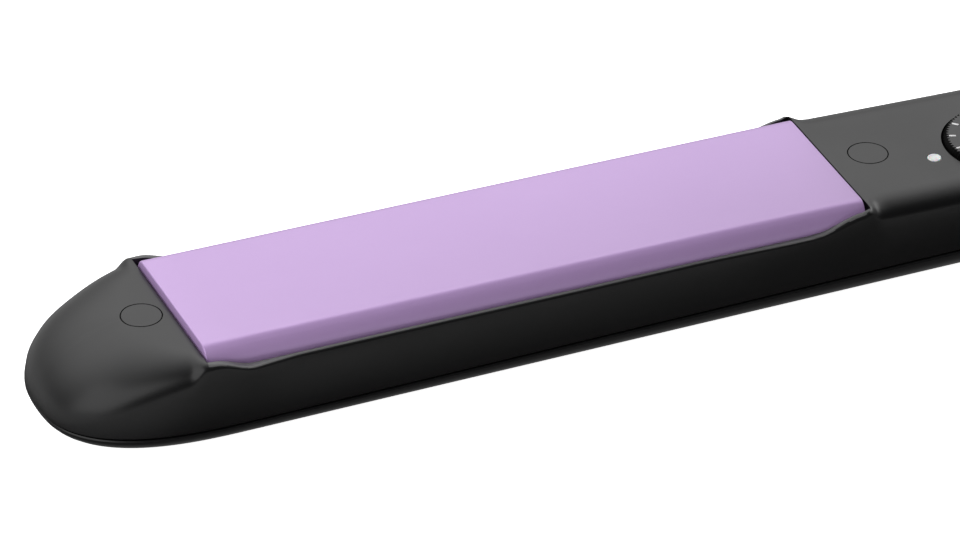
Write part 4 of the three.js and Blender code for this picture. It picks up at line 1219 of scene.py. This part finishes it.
def cord_path():
    """Out of the boot, down to the table, inwards round the coil and into the plug."""
    start = Vector((17.6, 0, SWIVEL_Z))
    boot_end = Vector((BOOT_HIGH.x + 5, 0, SWIVEL_Z))
    entry = coil_point(0)
    heading = Vector((sin(COIL_ENTRY), -cos(COIL_ENTRY), 0))
    inner = coil_point(COIL_SWEEP)
    plug_end = PLUG_FACE - PLUG_AXIS * (PLUG_REACH - 5.5)
    plug_start = plug_end - PLUG_AXIS * 14
    path = [start.lerp(boot_end, share) for share in steps(0, 1, 0.1)[:-1]]
    path += bezier(boot_end, boot_end + Vector((14, 0, 0)), entry - heading * 16, entry, 24)
    path += [coil_point(turned_by) for turned_by in steps(0, COIL_SWEEP, radians(3))[:-1]]
    path += bezier(inner, inner + Vector((25, 0, 0)), plug_start - PLUG_AXIS * 12, plug_start, 36)
    return path + [plug_start, plug_end]


def power_cord():
    cord = tube("power_cord_round", cord_path(), CORD_RADIUS - 0.02, 24)
    stand_for(cord, "power_cord", angle=60)


PIN_PLACES = {"left": 9.3, "right": -9.3}


def plug_place():
    heading = atan2(PLUG_AXIS.y, PLUG_AXIS.x)
    return Matrix.Translation(PLUG_FACE) @ Matrix.Rotation(heading, 4, "Z")


def plug_section(x, width, height):
    """A rounded rectangle across the plug, drawn as a superellipse."""
    points = []
    for i in range(64):
        angle = 2 * pi * (i + 0.5) / 64
        c, s = cos(angle), sin(angle)
        y = copysign(width * abs(c) ** 0.5, c)
        points.append((x, y, copysign(height * abs(s) ** 0.5, s)))
    return points


def mains_plug_body():
    """A moulded body that swells from its tail to the pin face, with finger grooves."""
    body = PLUG_BODY_LENGTH
    sizes = [(-PLUG_REACH + 2, 4.4, 4.2), (-body - 8, 4.8, 4.5), (-body - 1, 5.4, 4.9), (-body + 3, 8.6, 5.5)]
    sizes += [(-body + 9, 12.2, 6.1), (-body + 15, 14.4, 6.4), (-10, 16.7, 6.7), (-3, 17.15, 6.7)]
    smooth = curve_through(sizes, 6)
    face_edge = [(-0.8, 17.1, 6.65), (-0.3, 16.9, 6.5), (-0.05, 16.5, 6.15), (0, 16, 5.7)]
    smooth += [Vector(size) for size in face_edge]
    plug = loft("mains_plug_body_moulded", [plug_section(*size) for size in smooth])
    cut(plug, *[cylinder("x", -9, 5, y, 0, 2.3) for y in PIN_PLACES.values()])
    cut(plug, cylinder("x", -PLUG_REACH - 5, -PLUG_REACH + 6, 0, 0, CORD_BORE))
    for x in (-21, -18, -15):
        cut(plug, *[cylinder("y", -10, 10, x, side * 7.35, 1.1) for side in (-1, 1)])
    stand_for(plug, "mains_plug_body", plug_place(), angle=40)


def plug_pin(side):
    profile = [(0, -8.7), (2, -8.7), (2, 17.4), (1.75, 18.3), (1.1, 18.9), (0, 19)]
    pin = turned(f"mains_plug_pin_{side}_turned", rounded(profile, 0.3), "x", (0, PIN_PLACES[side], 0), 48)
    stand_for(pin, f"mains_plug_pin_{side}", plug_place())


# ---- everything together
def build_arm(arm, tail, place):
    heater_plate(arm, place)
    for end in ("front", "rear"):
        screw_plug(arm, end, tail, place)
        float_pad(arm, end, place)


def build_pieces():
    build_arm("lower", LOWER_TAIL, LOWER_PLACE)
    build_arm("upper", UPPER_TAIL, UPPER_PLACE)
    lower_inner_housing()
    lower_outer_cover()
    upper_inner_housing()
    upper_outer_cover()
    dial()
    dial_ticks()
    lamp_lens()
    hinge_pin()
    hinge_pin_cap()
    hinge_spring()
    lock_slider()
    strain_relief_boot()
    power_cord()
    mains_plug_body()
    for side in PIN_PLACES:
        plug_pin(side)


def dress_cad_nodes():
    """Gives the CAD nodes that stay in view their finish and slightly softened edges."""
    for name, node in frame["nodes"].items():
        if node.hide_render:
            continue
        node.data.shade_smooth()
        if not node.material_slots:
            node.data.materials.append(None)
        node.material_slots[0].material = FINISHES[SLOT_OF[name]]
        soften = node.modifiers.new("soften", "BEVEL")
        soften.width = 0.12 * MM
        soften.segments = 2
        soften.limit_method = "ANGLE"
        soften.angle_limit = radians(50)
        soften.harden_normals = True


# ---- the studio
FLOOR_REACH = 6000
FLOOR_GLOW = 0.95
FLOOR_SHADE_REACH = 120
FLOOR_SHADE = (0.86, 0.95)
FLOOR_IN_REFLECTION = 0.6
FLOOR_CONTACT = (0.62, 0.4)
FLOOR_CONTACT_GLOW = 0.22


@finish
def floor_paper(shader):
    """Pale matt paper.  Reflections see it as a dimmer glow than the camera does, with a painted shadow from
    ambient occlusion near the iron and a little painted light that keeps it not quite so dark right under its
    edges."""
    shader.colour(shader.noise(1.5, detail=4), grey(0.86), grey(0.9))
    shader.paint(Roughness=0.9, Specular_IOR_Level=0.0, Emission_Color=grey(1), Emission_Strength=FLOOR_GLOW)
    occlusion = shader.node("AmbientOcclusion", Distance=FLOOR_SHADE_REACH * MM)
    occlusion.samples = 8
    openness = occlusion.outputs["AO"]
    # Painted shadow near the iron and painted light right at its edges, both worked out from the occlusion.
    beyond = shader.remap(openness, *FLOOR_SHADE, 0.0, FLOOR_IN_REFLECTION)
    contact = shader.remap(openness, *FLOOR_CONTACT, 0.0, FLOOR_CONTACT_GLOW)
    mirrored = shader.node("Emission", Strength=shader.compute("Math", "ADD", beyond, contact))
    shader.split_by_camera(shader.surface, mirrored, "Material Output")


def make_floor():
    corners = [(-1, -1), (1, -1), (1, 1), (-1, 1)]
    vertices = [(x * FLOOR_REACH, y * FLOOR_REACH, -0.02) for x, y in corners]
    floor = new_piece("floor", vertices, [(0, 1, 2, 3)])
    floor.data.transform(Matrix.Scale(MM, 4))
    floor.data.materials.append(FINISHES["floor_paper"])


VIEW_TARGET = Vector((PLATE_CENTRE_X, 0, PLATE_TOP_Z))


def softbox(name, azimuth, elevation, distance, size, power, mirrored=True):
    """A square light in a direction (in degrees) from the plate's centre, facing it.  Sizes are in
    millimetres, power in watts.  A light that isn't mirrored shows in no reflection."""
    light = bpy.data.lights.new(name, "AREA")
    light.shape = "RECTANGLE"
    light.size = size * MM
    light.size_y = size * MM
    light.energy = power
    lamp = bpy.data.objects.new(name, light)
    SCENE.collection.objects.link(lamp)
    around, up = radians(azimuth), radians(elevation)
    away = Vector((sin(around) * cos(up), cos(around) * cos(up), sin(up)))
    lamp.location = (VIEW_TARGET + away * distance) * MM
    lamp.rotation_mode = "QUATERNION"
    lamp.rotation_quaternion = away.to_track_quat("Z", "Y")
    lamp.visible_glossy = mirrored


BACK_AZIMUTH = radians(15)
WORLD_DARK_FROM = -0.3
WORLD_BRIGHT_FROM = 0.75
WORLD_FRONT = 0.05
WORLD_BACK = 2.85
WORLD_LOW = 0.1
WORLD_HIGH = 0.85
WORLD_LOW_SHARE = 0.2


def make_world():
    """White to the camera.  To everything else it is a studio lit from behind the iron: bright at the
    back and overhead, dark in front and near the ground."""
    SCENE.world = bpy.data.worlds.new("studio")
    shader = Shader(SCENE.world, "Background", "Generated")
    shader.paint(Color=grey(1))
    back = (sin(BACK_AZIMUTH), cos(BACK_AZIMUTH), 0)
    facing = shader.compute("VectorMath", "DOT_PRODUCT", shader.place, back)
    glow = shader.remap(facing, WORLD_DARK_FROM, WORLD_BRIGHT_FROM, WORLD_FRONT, WORLD_BACK, smooth=True)
    height = shader.node("SeparateXYZ", Vector=shader.place).outputs["Z"]
    raised = shader.remap(height, WORLD_LOW, WORLD_HIGH, WORLD_LOW_SHARE, smooth=True)
    felt = shader.node("Background", Strength=shader.compute("Math", "MULTIPLY", glow, raised))
    shader.split_by_camera(shader.surface, felt, "World Output")


CAMERA_AZIMUTH = radians(-23.888)
CAMERA_ELEVATION = radians(32.405)
CAMERA_ROLL = radians(-0.922)
CAMERA_DISTANCE = 1100
CAMERA_LENS = 268.14
CAMERA_ASIDE = 3.783
CAMERA_ABOVE = 6.287
SENSOR_WIDTH = 36


def make_camera():
    """Looks at the middle of the lower plate from its left front, rolled by a degree."""
    azimuth, elevation = CAMERA_AZIMUTH, CAMERA_ELEVATION
    flat = cos(elevation)
    back = Vector((sin(azimuth) * flat, -cos(azimuth) * flat, sin(elevation)))
    level = Vector((cos(azimuth), sin(azimuth), 0))
    roll = Matrix.Rotation(-CAMERA_ROLL, 3, back)
    right = roll @ level
    up = roll @ back.cross(level)
    place = VIEW_TARGET - right * CAMERA_ASIDE - up * CAMERA_ABOVE + back * CAMERA_DISTANCE
    camera = bpy.data.objects.new("camera", bpy.data.cameras.new("camera"))
    camera.data.lens = CAMERA_LENS
    camera.data.sensor_width = SENSOR_WIDTH
    camera.data.clip_end = 100
    camera.matrix_world = Matrix.Translation(place * MM) @ Matrix((right, up, back)).transposed().to_4x4()
    SCENE.collection.objects.link(camera)
    SCENE.camera = camera


def make_studio():
    make_floor()
    make_world()
    softbox("side_softbox", azimuth=80, elevation=35, distance=1100, size=500, power=3)
    softbox("left_softbox", azimuth=-108, elevation=30, distance=600, size=600, power=1.6)
    softbox("front_fill", azimuth=-140, elevation=35, distance=500, size=500, power=1.0, mirrored=False)
    make_camera()
    SCENE.view_settings.view_transform = "Standard"


build_pieces()
dress_cad_nodes()
make_studio()
